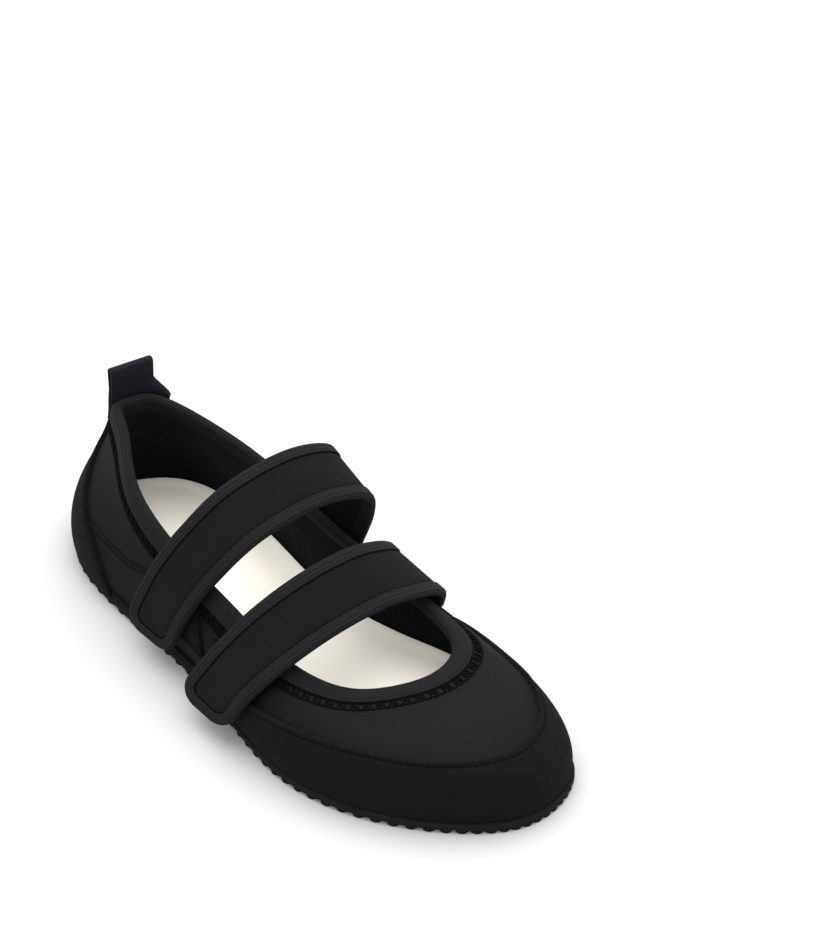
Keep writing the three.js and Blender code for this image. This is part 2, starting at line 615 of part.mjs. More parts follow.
function add_strap(name, strap) {
  const sheet = strap_surface(strap);
  const hinge_gap = fit_gap / 2;
  const edge = strap_tape + fit_gap;
  const spread = (b, inset) => mix(inset, strap_width - inset, b);
  const band_rows = Math.ceil(strap_width / 6);
  const band_piece = (inset, inner, outer) => plate(20, band_rows, (a, b, side) => {
    const across = spread(b, inset) / strap_width;
    const from = sheet.outer_t(across, strap.peel_height + hinge_gap);
    const to = sheet.inner_t(across, strap.swing_height + hinge_gap);
    return sheet.surface(across, mix(from, to, a), side ? outer : inner);
  });
  const tip_piece = (rows, columns, inset, inner, outer, from_z, end_inset) => plate(columns, rows, (a, b, side) => {
    const eased = 0.5 - 0.5 * Math.cos(Math.PI * b);
    const across_mm = spread(mix(b, eased, 0.8), inset);
    const across = across_mm / strap_width;
    const top = sheet.outer_t(across, from_z - hinge_gap);
    const end = sheet.outer_t(across, tip_end(strap, across_mm, end_inset));
    return sheet.surface(across, mix(top, Math.min(end, top - 0.002), a), side ? outer : inner);
  });
  const section = [
    [strap_tape_leg, shell_outer + strap_gap], [strap_tape_leg, tape_over], [0, tape_over], [0, tape_under],
    [strap_tape_leg, tape_under], [strap_tape_leg, -fit_gap], [strap_tape, -fit_gap],
    [strap_tape, shell_outer + strap_gap],
  ];
  const band_tape = (rear_side) => sweep(20, section.length, false, (a, k) => {
    const [reach, depth] = section[k];
    const across = (rear_side ? reach : strap_width - reach) / strap_width;
    const from = sheet.outer_t(across, strap.peel_height + hinge_gap);
    const to = sheet.inner_t(across, strap.swing_height + hinge_gap);
    return sheet.surface(across, mix(from, to, a), depth);
  });
  // The tip's tape goes down the rear edge, round the end and up the front edge.
  const tip_tape = () => sweep(26, section.length, false, (a, k) => {
    const [reach, depth] = section[k];
    const radius = tip_radius;
    const top = strap.peel_height - hinge_gap;
    const low = strap.tip_height;
    let across_mm;
    let z;
    if (a < 0.23 || a > 0.77) {
      const t = a < 0.23 ? a / 0.23 : (1 - a) / 0.23;
      z = mix(top, low + radius, t);
      across_mm = a < 0.23 ? reach : strap_width - reach;
    } else if (a < 0.42 || a > 0.58) {
      const t = a < 0.42 ? (a - 0.23) / 0.19 : (0.77 - a) / 0.19;
      const turn = t * Math.PI / 2;
      const inward = radius - (radius - reach) * Math.cos(turn);
      across_mm = a < 0.42 ? inward : strap_width - inward;
      z = low + radius - (radius - reach) * Math.sin(turn);
    } else {
      across_mm = mix(radius, strap_width - radius, (a - 0.42) / 0.16);
      z = low + reach;
    }
    const across = across_mm / strap_width;
    return sheet.surface(across, sheet.outer_t(across, z), depth);
  });
  const root = plate(6, 5, (a, b, side) => {
    const across = spread(b, 0) / strap_width;
    const from = sheet.inner_t(across, strap.swing_height - hinge_gap);
    const to = sheet.inner_t(across, strap.root_height);
    return sheet.surface(across, mix(from, to, a), side ? tape_over : tape_under);
  });
  const hook_edge = strap_tape_leg + fit_gap + 0.4;
  const hook = tip_piece(5, 6, hook_edge, hook_inner, -fit_gap, strap.peel_height - 2, hook_edge);
  add(`${name}_strap_root`, root, color.suede, 0.95);
  add(`${name}_strap_band_lining`, band_piece(edge, 0, strap_lining), color.lining, 0.9);
  add(`${name}_strap_band_shell`, band_piece(edge, shell_inner, shell_outer), color.suede, 0.95);
  add(`${name}_strap_band_tape_rear`, band_tape(true), color.tape, 0.8);
  add(`${name}_strap_band_tape_front`, band_tape(false), color.tape, 0.8);
  const tip_lining = tip_piece(8, 7, edge, 0, strap_lining, strap.peel_height, edge);
  const tip_shell = tip_piece(8, 7, edge, shell_inner, shell_outer, strap.peel_height, edge);
  add(`${name}_strap_tip_lining`, tip_lining, color.lining, 0.9);
  add(`${name}_strap_tip_shell`, tip_shell, color.suede, 0.95);
  add(`${name}_strap_tip_tape`, tip_tape(), color.tape, 0.8);
  add(`${name}_hook_patch`, hook, color.hook, 1);
}
add_strap("rear", straps.rear);
add_strap("front", straps.front);

// ---- Pull tab: webbing sewn down in two layers behind the collar and standing up as a loop ----------------
const tab_under = Math.max(overlay_outer, layer_gap + collar_tape) + fit_gap;
const tab_over = tab_under + tab_thickness + fit_gap;

function tab_loop() {
  const top = wall_frame(0, 1).point;
  const closed_half = tab_thickness + fit_gap / 2;
  // Side is 1 on the layer away from the foot and -1 on the other; share runs up the loop from its base.
  const at = (side, share, inward) => {
    const rise = share * tab_height;
    const half = closed_half + tab_bulge * Math.sin(share * Math.PI / 2);
    const back = tab_under + closed_half + tab_lean * rise + side * (half - inward);
    return new THREE.Vector2(-back, tab_base + rise);
  };
  const inside_crown = 1 - tab_thickness / tab_height;
  const climb = [0, 0.35, 0.7, 0.92];
  const inside_climb = [0, 0.35, 0.7, inside_crown - 0.05];
  const outline = [
    ...climb.map((share) => at(1, share, 0)),
    at(0.6, 0.98, 0), at(0, 1, 0), at(-0.6, 0.98, 0),
    ...climb.map((share) => at(-1, share, 0)).reverse(),
    ...inside_climb.map((share) => at(-1, share, tab_thickness)),
    at(0, inside_crown, 0),
    ...inside_climb.map((share) => at(1, share, tab_thickness)).reverse(),
  ];
  const geometry = new THREE.ExtrudeGeometry(new THREE.Shape(outline), { depth: tab_width, bevelEnabled: false });
  geometry.rotateX(Math.PI / 2);
  geometry.translate(tab_under + closed_half, tab_width / 2, 0);
  geometry.rotateZ(-THREE.MathUtils.degToRad(tab_turn));
  geometry.translate(top.x - tab_under - closed_half, top.y + tab_aside, top.z);
  return geometry;
}

// One sewn leg lies on the heel below the top line, between the tab's two sides.
function tab_leg(depth, reach) {
  const lowest = below_top(0, reach);
  return plate(10, 4, (a, b, side) => {
    const v = mix(lowest, 1, b);
    const y = tab_aside + mix(tab_width, -tab_width, a) / 2;
    const s = solve((station) => -wall(station, v).y, -y, -2.5, 2.5);
    return on_wall(s, v, depth + side * tab_thickness);
  });
}
add("pull_tab_loop", tab_loop(), color.webbing, 0.8);
add("pull_tab_outer_leg", tab_leg(tab_over, tab_outer_reach), color.webbing, 0.8);
add("pull_tab_inner_leg", tab_leg(tab_under, tab_inner_reach), color.webbing, 0.8);

// The origin goes to the floor, under the middle of the shoe's own box.
const whole = new THREE.Box3().setFromObject(group);
const middle = whole.getCenter(new THREE.Vector3());
group.children.forEach((mesh) => mesh.geometry.translate(-middle.x, -middle.y, -whole.min.z));

export default group;
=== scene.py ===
# %% [markdown]
# # A two-strap ballet slipper
# This lesson builds the looks of a flat, two-strap slip-on shoe around a CAD frame that already settles
# its sizes, pieces and joints. The shoe is black on black, so shape, stitching and the way each cloth
# takes the light have to tell its pieces apart: napped suede, smooth stretch cloth, ribbed tape, open
# woven lining and cream leather. Every piece is a closed mesh worked out by formula from one description
# of the foot's surface.

# %% Load the frame
import json
import math

import bpy
import numpy as np
from mathutils import Matrix, Vector

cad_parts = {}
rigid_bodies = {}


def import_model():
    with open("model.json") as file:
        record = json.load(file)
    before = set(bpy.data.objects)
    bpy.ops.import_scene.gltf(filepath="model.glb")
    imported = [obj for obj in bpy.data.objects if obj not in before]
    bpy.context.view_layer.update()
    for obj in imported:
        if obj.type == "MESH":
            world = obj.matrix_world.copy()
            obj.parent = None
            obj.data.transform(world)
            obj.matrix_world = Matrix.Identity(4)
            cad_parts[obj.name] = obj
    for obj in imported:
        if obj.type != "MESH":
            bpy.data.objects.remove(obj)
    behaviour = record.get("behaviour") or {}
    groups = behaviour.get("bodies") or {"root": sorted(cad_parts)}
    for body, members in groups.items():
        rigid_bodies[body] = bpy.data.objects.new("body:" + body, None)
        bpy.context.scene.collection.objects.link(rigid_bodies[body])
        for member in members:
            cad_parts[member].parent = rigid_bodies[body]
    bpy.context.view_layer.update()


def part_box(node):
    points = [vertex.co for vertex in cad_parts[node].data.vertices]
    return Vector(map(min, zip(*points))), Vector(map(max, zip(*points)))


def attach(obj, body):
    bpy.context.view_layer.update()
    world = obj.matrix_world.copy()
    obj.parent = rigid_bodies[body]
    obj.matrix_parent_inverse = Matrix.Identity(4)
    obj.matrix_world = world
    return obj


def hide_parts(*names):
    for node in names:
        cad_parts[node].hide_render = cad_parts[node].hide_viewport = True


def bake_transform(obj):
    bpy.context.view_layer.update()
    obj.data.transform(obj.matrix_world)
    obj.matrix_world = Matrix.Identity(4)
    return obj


for leftover in list(bpy.data.objects):
    bpy.data.objects.remove(leftover)
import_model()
METRE = 0.001  # one millimetre, the unit of every size below, in the scene's metres

# %% [markdown]
# ## Camera, floor and light
# A product shot of a black shoe needs a bright surround: the white floor and a broad soft sky draw the
# outline. One very wide lamp overhead lights the footbed evenly between the straps and leaves a soft
# shadow round the sole, and a weaker lamp in front of the toes lifts the nap, ribs and stitches. A long
# lens from far away keeps the shoe's proportions honest. The plain view transform keeps the floor white.

# %% Camera
scene = bpy.context.scene
scene.view_settings.view_transform = "Standard"
SENSOR = 36.0
LENS = 174.24


def add_camera(azimuth, elevation, roll, distance, aim):
    az, el = math.radians(azimuth), math.radians(elevation)
    back = Vector((math.sin(az) * math.cos(el), -math.cos(az) * math.cos(el), math.sin(el)))
    right = Vector((math.cos(az), math.sin(az), 0))
    up = back.cross(right)
    turn = math.radians(roll)
    across = right * math.cos(turn) + up * math.sin(turn)
    upward = up * math.cos(turn) - right * math.sin(turn)
    data = bpy.data.cameras.new("camera")
    data.sensor_width = SENSOR
    data.lens = LENS
    data.clip_end = 20
    camera = bpy.data.objects.new("camera", data)
    scene.collection.objects.link(camera)
    place = Matrix.Translation(Vector(aim) + back * distance)
    camera.matrix_world = place @ Matrix((across, upward, back)).transposed().to_4x4()
    scene.camera = camera
    return camera


camera = add_camera(50.715, 37.904, 1.059, 1.7531, (-0.0336, 0.0833, 0.0303))
print("lens", round(camera.data.lens, 1), "mm, camera at", camera.matrix_world.translation)

# %% [markdown]
# ## A small language for materials
# Shader maths reads best as ordinary expressions. `Value` wraps one socket and turns + - * into Math
# nodes; `Finish` owns a material, and its one method `node` adds any other node from its type, settings
# and inputs.

# %% Shader helpers
class Value:
    def __init__(self, finish, socket):
        self.finish = finish
        self.socket = socket

    def maths(self, operation, *others):
        inputs = dict(enumerate((self, *others)))
        return self.finish.node("ShaderNodeMath", {"operation": operation}, inputs)

    def __add__(self, other):
        return self.maths("ADD", other)

    def __mul__(self, other):
        return self.maths("MULTIPLY", other)

    def __sub__(self, other):
        return self.maths("SUBTRACT", other)

    def __rsub__(self, other):
        return self.finish.node("ShaderNodeMath", {"operation": "SUBTRACT"}, {0: other, 1: self})

    __radd__ = __add__
    __rmul__ = __mul__

    def wave(self, pitch):
        """From 0 to 1 and back once in each pitch."""
        return (self * (2 * math.pi / pitch)).maths("SINE") * 0.5 + 0.5

    def clamp(self, low, high):
        return self.maths("MAXIMUM", low).maths("MINIMUM", high)


class Finish:
    def __init__(self, name, **constants):
        self.material = bpy.data.materials.new(name)
        self.material.use_nodes = True
        self.tree = self.material.node_tree
        self.shader = self.tree.nodes["Principled BSDF"]
        for socket, value in constants.items():
            self.shader.inputs[socket.replace("_", " ")].default_value = value

    def node(self, kind, settings=None, inputs=None, output=0):
        made = self.tree.nodes.new(kind)
        for key, value in (settings or {}).items():
            setattr(made, key, value)
        for key, value in (inputs or {}).items():
            if isinstance(value, Value):
                self.tree.links.new(value.socket, made.inputs[key])
            else:
                made.inputs[key].default_value = value
        return Value(self, made.outputs[output])

    def cloth_map(self):
        """Where a point lies on the flat cloth, in millimetres."""
        return self.node("ShaderNodeUVMap", {"uv_map": "cloth"})

    def along_and_across(self, flat):
        """The two distances of a cloth map, each as a number."""
        return [self.node("ShaderNodeSeparateXYZ", {}, {0: flat}, way) for way in (0, 1)]

    def noise(self, vector, scale, detail=2.0, roughness=0.5):
        inputs = {"Vector": vector, "Scale": scale, "Detail": detail, "Roughness": roughness}
        return self.node("ShaderNodeTexNoise", {}, inputs)

    def stretched(self, vector, along, across):
        """The cloth map scaled by a factor each way, for grain that runs one way."""
        inputs = {0: vector, 1: (along, across, 1)}
        return self.node("ShaderNodeVectorMath", {"operation": "MULTIPLY"}, inputs)

    def shades(self, mask, dark, light):
        inputs = {0: mask, 6: (*dark, 1), 7: (*light, 1)}
        return self.node("ShaderNodeMix", {"data_type": "RGBA"}, inputs, 2)

    def colour(self, value):
        self.tree.links.new(value.socket, self.shader.inputs["Base Color"])
        return self

    def rough(self, value):
        self.tree.links.new(value.socket, self.shader.inputs["Roughness"])
        return self

    def bump(self, height, depth_mm):
        inputs = {"Height": height, "Distance": depth_mm * METRE, "Strength": 1.0}
        raised = self.node("ShaderNodeBump", {}, inputs)
        self.tree.links.new(raised.socket, self.shader.inputs["Normal"])
        return self


# %% Floor and lights
def add_floor(size, thickness):
    corners = ((-size, -size), (size, -size), (size, size), (-size, size))
    vertices = [(x, y, z) for z in (-thickness, 0) for x, y in corners]
    faces = [(3, 2, 1, 0), (4, 5, 6, 7), (0, 1, 5, 4), (1, 2, 6, 5), (2, 3, 7, 6), (3, 0, 4, 7)]
    data = bpy.data.meshes.new("floor")
    data.from_pydata(vertices, [], faces)
    floor = bpy.data.objects.new("floor", data)
    scene.collection.objects.link(floor)
    data.materials.append(Finish("floor_white", Base_Color=(0.4, 0.4, 0.4, 1), Roughness=0.9).material)


def add_lamp(name, size, power, place, aim):
    data = bpy.data.lights.new(name, "AREA")
    data.shape = "DISK"
    data.size = size
    data.energy = power
    lamp = bpy.data.objects.new(name, data)
    scene.collection.objects.link(lamp)
    lamp.location = place
    lamp.rotation_euler = (Vector(aim) - Vector(place)).to_track_quat("-Z", "Y").to_euler()


def add_sky(strength):
    world = bpy.data.worlds.new("studio")
    world.use_nodes = True
    world.node_tree.nodes["Background"].inputs[0].default_value = (1, 1, 1, 1)
    world.node_tree.nodes["Background"].inputs[1].default_value = strength
    scene.world = world


add_floor(2.5, 0.01)
add_sky(1.45)
# name, width, watts, place, aim
LAMPS = [
    ("key", 2.8, 66.0, (-0.3, 0.25, 1.75), (-0.04, 0, 0)),
    ("fill", 1.6, 9.0, (0.9, -1.3, 1.4), (0, 0, 0)),
]
for lamp in LAMPS:
    add_lamp(*lamp)
print("floor, sky and", len(LAMPS), "lamps")

# %% [markdown]
# ## The foot's surface
# One shape lies under every piece of the upper. Seventeen stations go once round the shoe; each joins a
# point on the sole line to a point on the top line by a bulging Bezier curve, and a smooth closed curve
# joins the stations. A place on the upper is then a station s, a height v from sole (0) to top (1), and a
# depth out of the surface. Working in those terms keeps seams, tapes and stitches true to the surface
# wherever they run.

# %% Sizes in millimetres
LAST_LENGTH = 242
LAST_WIDTH = 90
COLLAR_HEIGHT = 59
SOLE_TOP = 4.3
FEATHER = SOLE_TOP + 0.3
HEEL_WELT, TOE_WELT = 0.6, 2.6
PANEL = 1.2
PANEL_ROUNDING = 0.5
LINING_FACE = -2.2
BINDING_LEG = 6.0
# [sole x, sole y, top x, top y, top z, belly, rise, lean, drop], lengths as shares of the three sizes above
STATIONS = np.array([
    [0.002, 0.000, 0.056, 0.000, 0.975, 0.040, 0.37, 0.004, 0.37],
    [0.023, -0.217, 0.060, -0.094, 0.985, 0.051, 0.37, 0.008, 0.34],
    [0.116, -0.383, 0.122, -0.178, 0.985, 0.058, 0.34, 0.008, 0.27],
    [0.277, -0.422, 0.225, -0.317, 0.880, 0.052, 0.29, 0.012, 0.20],
    [0.438, -0.431, 0.374, -0.363, 0.750, 0.056, 0.27, 0.017, 0.17],
    [0.585, -0.491, 0.504, -0.367, 0.680, 0.067, 0.27, 0.025, 0.14],
    [0.721, -0.511, 0.622, -0.353, 0.605, 0.059, 0.31, 0.050, 0.10],
    [0.855, -0.378, 0.714, -0.256, 0.550, 0.057, 0.37, 0.091, 0.07],
    [0.959, -0.129, 0.760, -0.087, 0.545, 0.058, 0.41, 0.132, 0.03],
    [1.001, 0.117, 0.774, 0.087, 0.545, 0.058, 0.41, 0.140, 0.03],
    [0.977, 0.344, 0.756, 0.240, 0.540, 0.047, 0.37, 0.107, 0.07],
    [0.901, 0.456, 0.695, 0.331, 0.542, 0.028, 0.34, 0.058, 0.10],
    [0.736, 0.489, 0.557, 0.331, 0.595, 0.022, 0.31, 0.033, 0.14],
    [0.583, 0.374, 0.410, 0.300, 0.680, 0.033, 0.31, 0.017, 0.17],
    [0.428, 0.300, 0.276, 0.283, 0.780, 0.044, 0.34, 0.012, 0.20],
    [0.248, 0.344, 0.155, 0.209, 0.880, 0.047, 0.37, 0.008, 0.27],
    [0.072, 0.289, 0.074, 0.103, 0.960, 0.047, 0.37, 0.008, 0.34],
])
LOOP = len(STATIONS)


# %% Curves through given values
def closed_curve(values):
    """A smooth closed curve through all columns of values, one row for each whole number."""
    n = len(values)
    system = np.eye(n) * 4 + np.roll(np.eye(n), 1, 0) + np.roll(np.eye(n), -1, 0)
    control = np.linalg.solve(system / 6, values)

    def at(s):
        s = np.asarray(s, float) % n
        i = np.floor(s).astype(int) % n
        f = (s - np.floor(s))[..., None]
        shares = ((1 - f) ** 3, 3 * f**3 - 6 * f**2 + 4, -3 * f**3 + 3 * f**2 + 3 * f + 1, f**3)
        return sum(share * control[(i + k - 1) % n] for k, share in enumerate(shares)) / 6

    return at


def open_curve(pairs):
    """A smooth height over distance through pairs with rising distance."""
    x, y = np.array(pairs, float).T
    low, high = np.maximum(np.arange(len(x)) - 1, 0), np.minimum(np.arange(len(x)) + 1, len(x) - 1)
    slope = (y[high] - y[low]) / (x[high] - x[low])

    def at(q):
        q = np.asarray(q, float)
        i = np.clip(np.searchsorted(x, q, side="left") - 1, 0, len(x) - 2)
        width, rise = x[i + 1] - x[i], y[i + 1] - y[i]
        t = np.clip((q - x[i]) / width, 0, 1)
        bend = (1 - t) * (slope[i] * width - rise) - t * (slope[i + 1] * width - rise)
        return y[i] + rise * t + t * (1 - t) * bend

    return at


def mix(a, b, t):
    return a + (b - a) * t


def ease(t):
    """A soft step from 0 to 1."""
    t = np.clip(t, 0, 1)
    return t * t * (3 - 2 * t)


def bisect(rising, target, low, high, steps=26):
    """Where rising(t) reaches the target, worked out for a whole array at once."""
    target = np.asarray(target, float)
    a, b = np.full(target.shape, float(low)), np.full(target.shape, float(high))
    for _ in range(steps):
        middle = (a + b) / 2
        short = rising(middle) < target
        a, b = np.where(short, middle, a), np.where(short, b, middle)
    return (a + b) / 2


# %% The wall of the shoe
foot_curve = closed_curve(STATIONS)


def unit(vectors):
    return vectors / np.maximum(np.linalg.norm(vectors, axis=-1, keepdims=True), 1e-12)


def sole_point(s, inset, z):
    """A point of the sole line, moved in by a distance and set at a height."""
    e = 0.01
    here, ahead, behind = foot_curve(s), foot_curve(np.asarray(s) + e), foot_curve(np.asarray(s) - e)
    way = unit((ahead - behind)[..., :2] * (LAST_LENGTH, LAST_WIDTH))
    x = here[..., 0] * LAST_LENGTH - inset * way[..., 1]
    y = here[..., 1] * LAST_WIDTH + inset * way[..., 0]
    return np.stack([x, y, np.full(np.shape(x), float(z)) if np.isscalar(z) else z], -1)


def wall(s, v):
    """The Bezier curve from the sole line (v = 0) to the top line (v = 1) at each station."""
    s, v = np.broadcast_arrays(np.asarray(s, float), np.asarray(v, float))
    row = foot_curve(s)
    foot = sole_point(s, 0, FEATHER)
    out = sole_point(s, -1, FEATHER) - foot
    low = foot + out * row[..., 5:6] * LAST_WIDTH
    low[..., 2] += row[..., 6] * COLLAR_HEIGHT
    top = row[..., 2:5] * (LAST_LENGTH, LAST_WIDTH, COLLAR_HEIGHT)
    high = top + out * row[..., 7:8] * LAST_LENGTH
    high[..., 2] -= row[..., 8] * COLLAR_HEIGHT
    v = v[..., None]
    return foot * (1 - v) ** 3 + 3 * low * v * (1 - v) ** 2 + 3 * high * v**2 * (1 - v) + top * v**3


def wall_frame(s, v):
    """Point, outward normal and upward rate of the wall."""
    e = 0.004
    s, v = np.broadcast_arrays(np.asarray(s, float), np.asarray(v, float))
    low, high = np.maximum(v - e, 0), np.minimum(v + e, 1)
    up = (wall(s, high) - wall(s, low)) / (high - low)[..., None]
    normal = unit(np.cross(wall(s + e, v) - wall(s - e, v), up))
    return wall(s, v), normal, up


def on_wall(s, v, depth):
    point, normal, _ = wall_frame(s, v)
    moved = point + normal * np.broadcast_to(depth, point.shape[:-1])[..., None]
    moved[..., 2] = np.maximum(moved[..., 2], FEATHER)
    return moved


def below_top(s, millimetres):
    """The height v of a line some millimetres below the top line."""
    return 1 - millimetres / np.linalg.norm(wall_frame(s, 1.0)[2], axis=-1)


def overhang(s):
    """How far the outsole stands out beyond the upper: little at the heel, more at the toe."""
    return mix(HEEL_WELT, TOE_WELT, np.clip(foot_curve(s)[..., 0:1], 0, 1))[..., 0]


def sole_edge(s, inward):
    """The outsole's edge, moved in by a distance."""
    s = np.asarray(s, float)
    line = sole_point(s, 0, 0)
    out = sole_point(s, -1, 0) - line
    return line + out * (overhang(s) - inward)[..., None]


round_the_sole = sole_edge(np.linspace(0, LOOP, 600, endpoint=False), 0)
sole_low, sole_high = (np.array(corner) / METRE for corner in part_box("outsole"))
SHIFT = (sole_low + sole_high) / 2 - (round_the_sole.min(0) + round_the_sole.max(0)) / 2
SHIFT[2] = 0
print("the last's own frame is moved by", SHIFT.round(2), "mm; outline spreads differ by",
      ((sole_high - sole_low) - np.ptp(round_the_sole, axis=0))[:2].round(2), "mm")

# %% [markdown]
# ## Turning grids into closed pieces
# Nearly every piece of a shoe is a strip or plate of cloth: an outer face, an inner face a cloth's
# thickness away, and edges between them. `ribbon` closes two matching grids of points into one solid and
# writes a map of the flat cloth, in millimetres, for the weave and grain to follow. Where a piece needs
# soft cut edges, the outer grid simply dips towards them. The sharp-edge angle keeps cut edges crisp and
# everything else smooth.

# %% Mesh helpers
SHARP = math.radians(48)


def new_piece(name, points, faces, flat, body, slot, finish, replaces=()):
    """One closed mesh from millimetre points, quads and the flat-cloth place of each face corner."""
    a, b, c, d = (points[faces[:, k]] for k in range(4))
    volume = (a * np.cross(b, c)).sum() + (a * np.cross(c, d)).sum()
    if volume < 0:
        faces, flat = faces[:, ::-1], flat[:, ::-1]
    keep = [[v for k, v in enumerate(face) if v != face[k - 1]] for face in faces.tolist()]
    data = bpy.data.meshes.new(name)
    data.from_pydata(((points + SHIFT) * METRE).tolist(), [], keep)
    cloth = data.uv_layers.new(name="cloth")
    corners = [flat[n][k] for n, face in enumerate(faces.tolist())
               for k, v in enumerate(face) if v != face[k - 1]]
    cloth.data.foreach_set("uv", np.array(corners, np.float32).ravel())
    data.shade_smooth()
    data.set_sharp_from_angle(angle=SHARP)
    data.materials.append(finish.material)
    piece = bpy.data.objects.new(name, data)
    scene.collection.objects.link(piece)
    if body:
        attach(piece, body)
    if replaces:
        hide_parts(*replaces)
    return piece


def ring_faces(count, size, closed, half=None):
    """Quads between rings of points; an open strip of two faces also gets its two ends."""
    i, k = np.meshgrid(np.arange(count if closed else count - 1), np.arange(size), indexing="ij")
    j, m = (i + 1) % count, (k + 1) % size
    faces = np.stack([i * size + k, i * size + m, j * size + m, j * size + k], -1).reshape(-1, 4)
    if not closed:
        k = np.arange(half - 1)
        cap = np.stack([k, k + 1, size - 2 - k, size - 1 - k], -1)
        faces = np.concatenate([faces, cap[:, ::-1], cap + (count - 1) * size])
    return faces


def lengths_along(points, closed=False):
    """Running length of a line of points; a closed line gets one more value, its whole length."""
    ends = np.concatenate([points, points[:1]]) if closed else points
    return np.concatenate([[0], np.cumsum(np.linalg.norm(np.diff(ends, axis=0), axis=1))])


def ribbon_mesh(outer, inner, closed):
    """Points, quads and cloth map of the solid between two matching grids."""
    count, half = outer.shape[:2]
    rings = np.concatenate([outer, inner[:, ::-1]], axis=1)
    size = 2 * half
    faces = ring_faces(count, size, closed, half)
    along = lengths_along(outer[:, half // 2], closed)
    across = lengths_along(outer[count // 2])
    across = np.concatenate([across, across[::-1]])
    row, place = faces // size, faces % size
    wrapped = closed & (row == 0) & (np.max(row, axis=1, keepdims=True) == count - 1)
    flat = np.stack([along[np.where(wrapped, count, row)], across[place]], -1)
    return rings.reshape(-1, 3), faces, flat


def ribbon(name, outer, inner, body, slot, finish, replaces=(), closed=False):
    points, faces, flat = ribbon_mesh(outer, inner, closed)
    return new_piece(name, points, faces, flat, body, slot, finish, replaces)


def join_parts(parts):
    """Several (points, faces, flat) as one."""
    points, faces, flat, start = [], [], [], 0
    for p, f, u in parts:
        points.append(p)
        faces.append(f + start)
        flat.append(u)
        start += len(p)
    return np.concatenate(points), np.concatenate(faces), np.concatenate(flat)


def rounding(distance, radius):
    """How far a rounded edge drops at a distance from the cut."""
    reach = radius - np.clip(distance, 0, radius)
    return radius - np.sqrt(np.maximum(radius**2 - reach**2, 0))


# %% [markdown]
# ## Thread
# Each stitch is a short bent tube that rises out of one needle hole and goes down the next, so the
# stitching catches light as real thread does and its shadow shows the pull of the seam. All stitches of a
# seam are one mesh.

# %% Stitches
THREAD_STEP = 0.6


def thread_mesh(starts, ends, normals, radius, rise, sink=0.35, sides=6, rings=6):
    """One small arched tube from each start to each end, standing out along the normals."""
    way = unit(ends - starts)
    side = unit(np.cross(normals, way))
    t = np.linspace(0, 1, rings)
    lift = rise * np.sin(np.pi * t) ** 0.6 - sink * (1 - np.sin(np.pi * t) ** 0.5)
    core = starts[:, None] + (ends - starts)[:, None] * t[:, None] + normals[:, None] * lift[:, None]
    turn = np.linspace(0, 2 * np.pi, sides, endpoint=False)
    ring = side[:, None] * np.cos(turn)[:, None] + normals[:, None] * np.sin(turn)[:, None]
    points = (core[:, :, None] + radius * ring[:, None]).reshape(-1, 3)
    one = ring_faces(rings, sides, False, sides // 2)
    faces = (one[None] + (np.arange(len(starts)) * rings * sides)[:, None, None]).reshape(-1, 4)
    place = faces % (rings * sides)
    flat = np.stack([place // sides * THREAD_STEP, place % sides * radius], -1).astype(float)
    return points, faces, flat


def stitch_ends(line, normals, pitch, gap):
    """Start and end of each stitch along a line, and the normal at each."""
    run = lengths_along(line)
    count = max(int(run[-1] / pitch), 1)
    knots = np.linspace(0, run[-1], count + 1)
    begin, stop = knots[:-1] + gap / 2, knots[1:] - gap / 2
    pick = lambda at, of: np.stack([np.interp(at, run, of[:, k]) for k in range(3)], -1)
    return pick(begin, line), pick(stop, line), unit(pick((begin + stop) / 2, normals))


def running_stitch(line, normals, pitch, gap, radius, rise):
    """A row of single stitches along a line."""
    starts, ends, out = stitch_ends(line, normals, pitch, gap)
    return thread_mesh(starts, ends, out, radius, rise)


# %% [markdown]
# ## Patches of the upper
# A panel lies on the wall between two stations and between a lower and an upper seam. Its grid is fine
# within a few millimetres of each seam, where folded edges, grooves and stitches are, and coarser in the
# middle. The patch keeps how far each grid point is from every edge, so a panel's thickness profile can be
# written as a formula of that.

# %% Patch of the wall
FINE_EDGE = np.array([0, 0.1, 0.25, 0.5, 0.8, 1.2, 1.6, 2.0, 2.4, 2.8, 3.3, 4.0])
FAR_AWAY = 99.0


def squeezed_edge(length):
    """The fine rows near an edge, drawn together where a patch is too short for them."""
    return FINE_EDGE * np.minimum(1, length / (2.3 * FINE_EDGE[-1]))[:, None]


